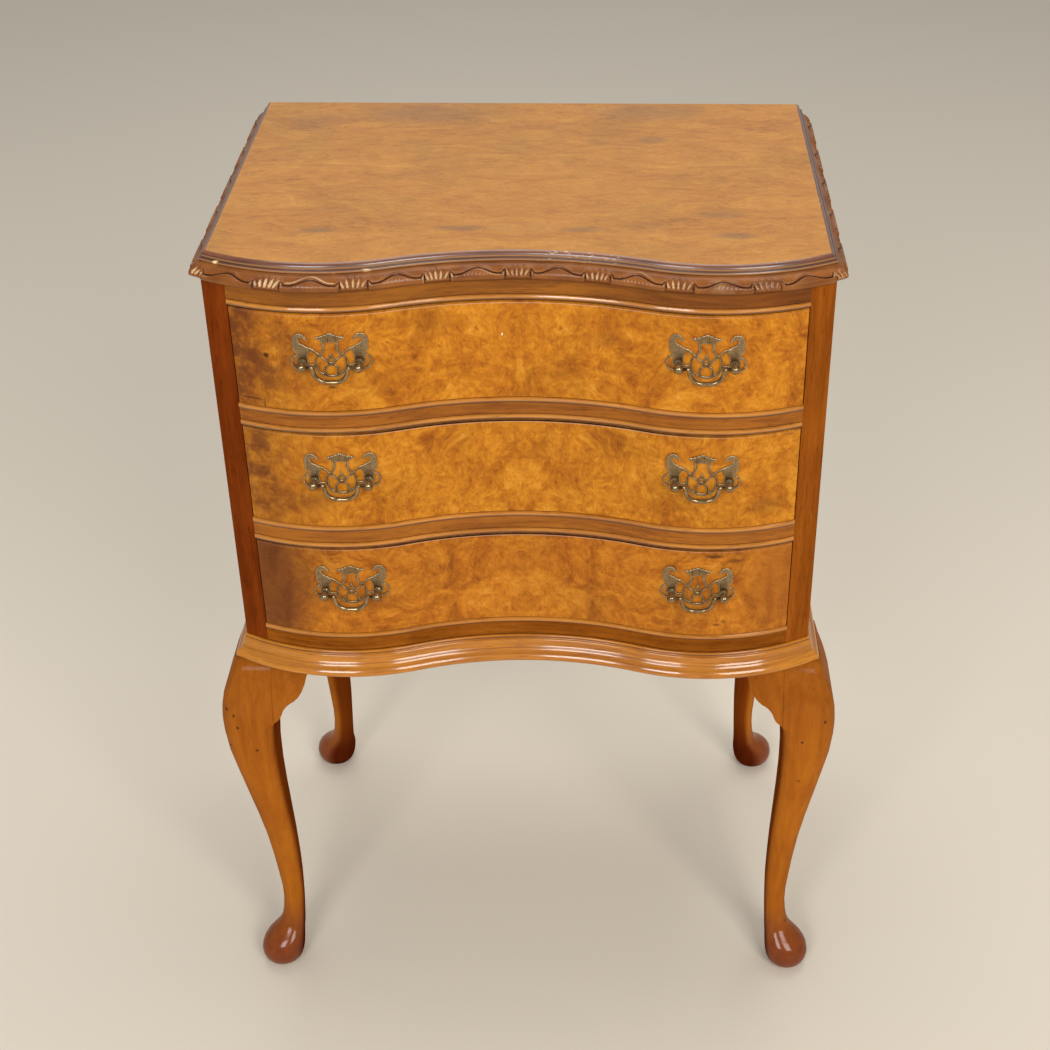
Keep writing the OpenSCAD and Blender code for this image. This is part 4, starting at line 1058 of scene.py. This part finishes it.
def smoothCopies(table):
    for source, (name, body, slot, angle) in table.items():
        piece = ownCopy(name, source)
        bpy.ops.object.shade_smooth_by_angle(angle=math.radians(angle))
        if source.startswith("leg"):
            markInside(piece, legInside)
        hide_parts(source)
        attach(piece, body)


smoothCopies(smoothPieces)

print("handle plates")

# Cast plates: the drawn plates with their edges rounded over, and veins in the leaves and the crown.
castPlate = {
    "voxel": 0.34,
    "softening": 5,
    "veinDepth": 0.16,
    "veinPitch": 1.9,
    "veinSlope": (0.8, 1.3),
    "spine": 24.0,         # how far out the spine of the leaf is
    "veinStart": 2.0,
    "leaf": (3.5, 15.5),   # leaves lie above and outside these, from the middle of a plate
    "crown": (12.5, 11.0),     # the crown lies above and inside these
    "crownPitch": 1.7,
    "middleX": 145.0,
    "faceR": 181.6,
    "heights": {"1": 678.55, "2": 570.8, "3": 461.05},
    "wearGain": 9.0,       # how fast wear grows with how sharply an edge stands out, in millimetres
}


# u is across a plate from its middle, w up from the axis of its bail
def veinCut(u, w, c):
    above, outside = c["leaf"]
    if w > above and u > outside:      # veins slant up and out from the spine of the leaf
        up, out = c["veinSlope"]
        slant = (w * up - abs(u - c["spine"]) * out) / c["veinPitch"] * 2 * math.pi
        return -c["veinDepth"] * ease((w - above) / c["veinStart"]) * max(0.0, math.cos(slant)) ** 2
    above, inside = c["crown"]
    if w > above and u < inside:       # upright flutes
        return -c["veinDepth"] * max(0.0, math.cos(u / c["crownPitch"] * 2 * math.pi)) ** 2
    return 0.0


def cutVeins(shape, height, c, p):
    middle = math.asin((c["middleX"] - p["crestX"]) / c["faceR"])
    for v in shape.verts:
        side = 1 if v.co.x > 0 else -1
        dx, dy = v.co.x * 1000 - side * p["crestX"], p["bulgeY"] - v.co.y * 1000
        radius, angle = math.hypot(dx, dy), side * math.atan2(dx, dy)
        if radius > c["faceR"] - 0.5:
            u, w = abs(c["faceR"] * (angle - middle)), v.co.z * 1000 - height
            move = veinCut(u, w, c) / radius / 1000
            v.co.x += dx * move
            v.co.y -= dy * move
    shape.normal_update()


def markWear(shape, c):
    wear = shape.verts.layers.float.new("wear")
    for v in shape.verts:
        around = [e.other_vert(v).co for e in v.link_edges]
        bulge = (v.co - sum(around, Vector()) / len(around)).dot(v.normal) * 1000
        v[wear] = max(0.0, min(1.0, 0.5 + c["wearGain"] * bulge))


def castPlates(number, c, p):
    source = "handle_plates_" + number
    piece = ownCopy("castPlates" + number, source)
    remesh = piece.modifiers.new("cast", "REMESH")
    remesh.mode = "VOXEL"
    remesh.voxel_size = c["voxel"] / 1000
    bpy.ops.object.modifier_apply(modifier="cast")
    soften = piece.modifiers.new("soften", "SMOOTH")
    soften.factor, soften.iterations = 0.5, c["softening"]
    bpy.ops.object.modifier_apply(modifier="soften")
    shape = bmesh.new()
    shape.from_mesh(piece.data)
    cutVeins(shape, c["heights"][number], c, p)
    markWear(shape, c)
    shape.to_mesh(piece.data)
    shape.free()
    bpy.ops.object.shade_smooth()
    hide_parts(source)
    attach(piece, "drawer_" + number)
    print(piece.name, len(piece.data.polygons), "faces")


for number in castPlate["heights"]:
    castPlates(number, castPlate, plan)

print("floor")

studioFloor = {"size": 14, "place": (0, 2, 0), "colour": (0.74, 0.67, 0.56), "roughness": 0.9}


def makeFloor(c):
    bpy.ops.mesh.primitive_plane_add(size=c["size"], location=c["place"])
    floor = bpy.context.object
    floor.name = "studioFloor"
    paint, tree, shader = newMaterial("floorPaint")
    shader.inputs["Base Color"].default_value = (*c["colour"], 1)
    shader.inputs["Roughness"].default_value = c["roughness"]
    dress(floor, paint)


makeFloor(studioFloor)
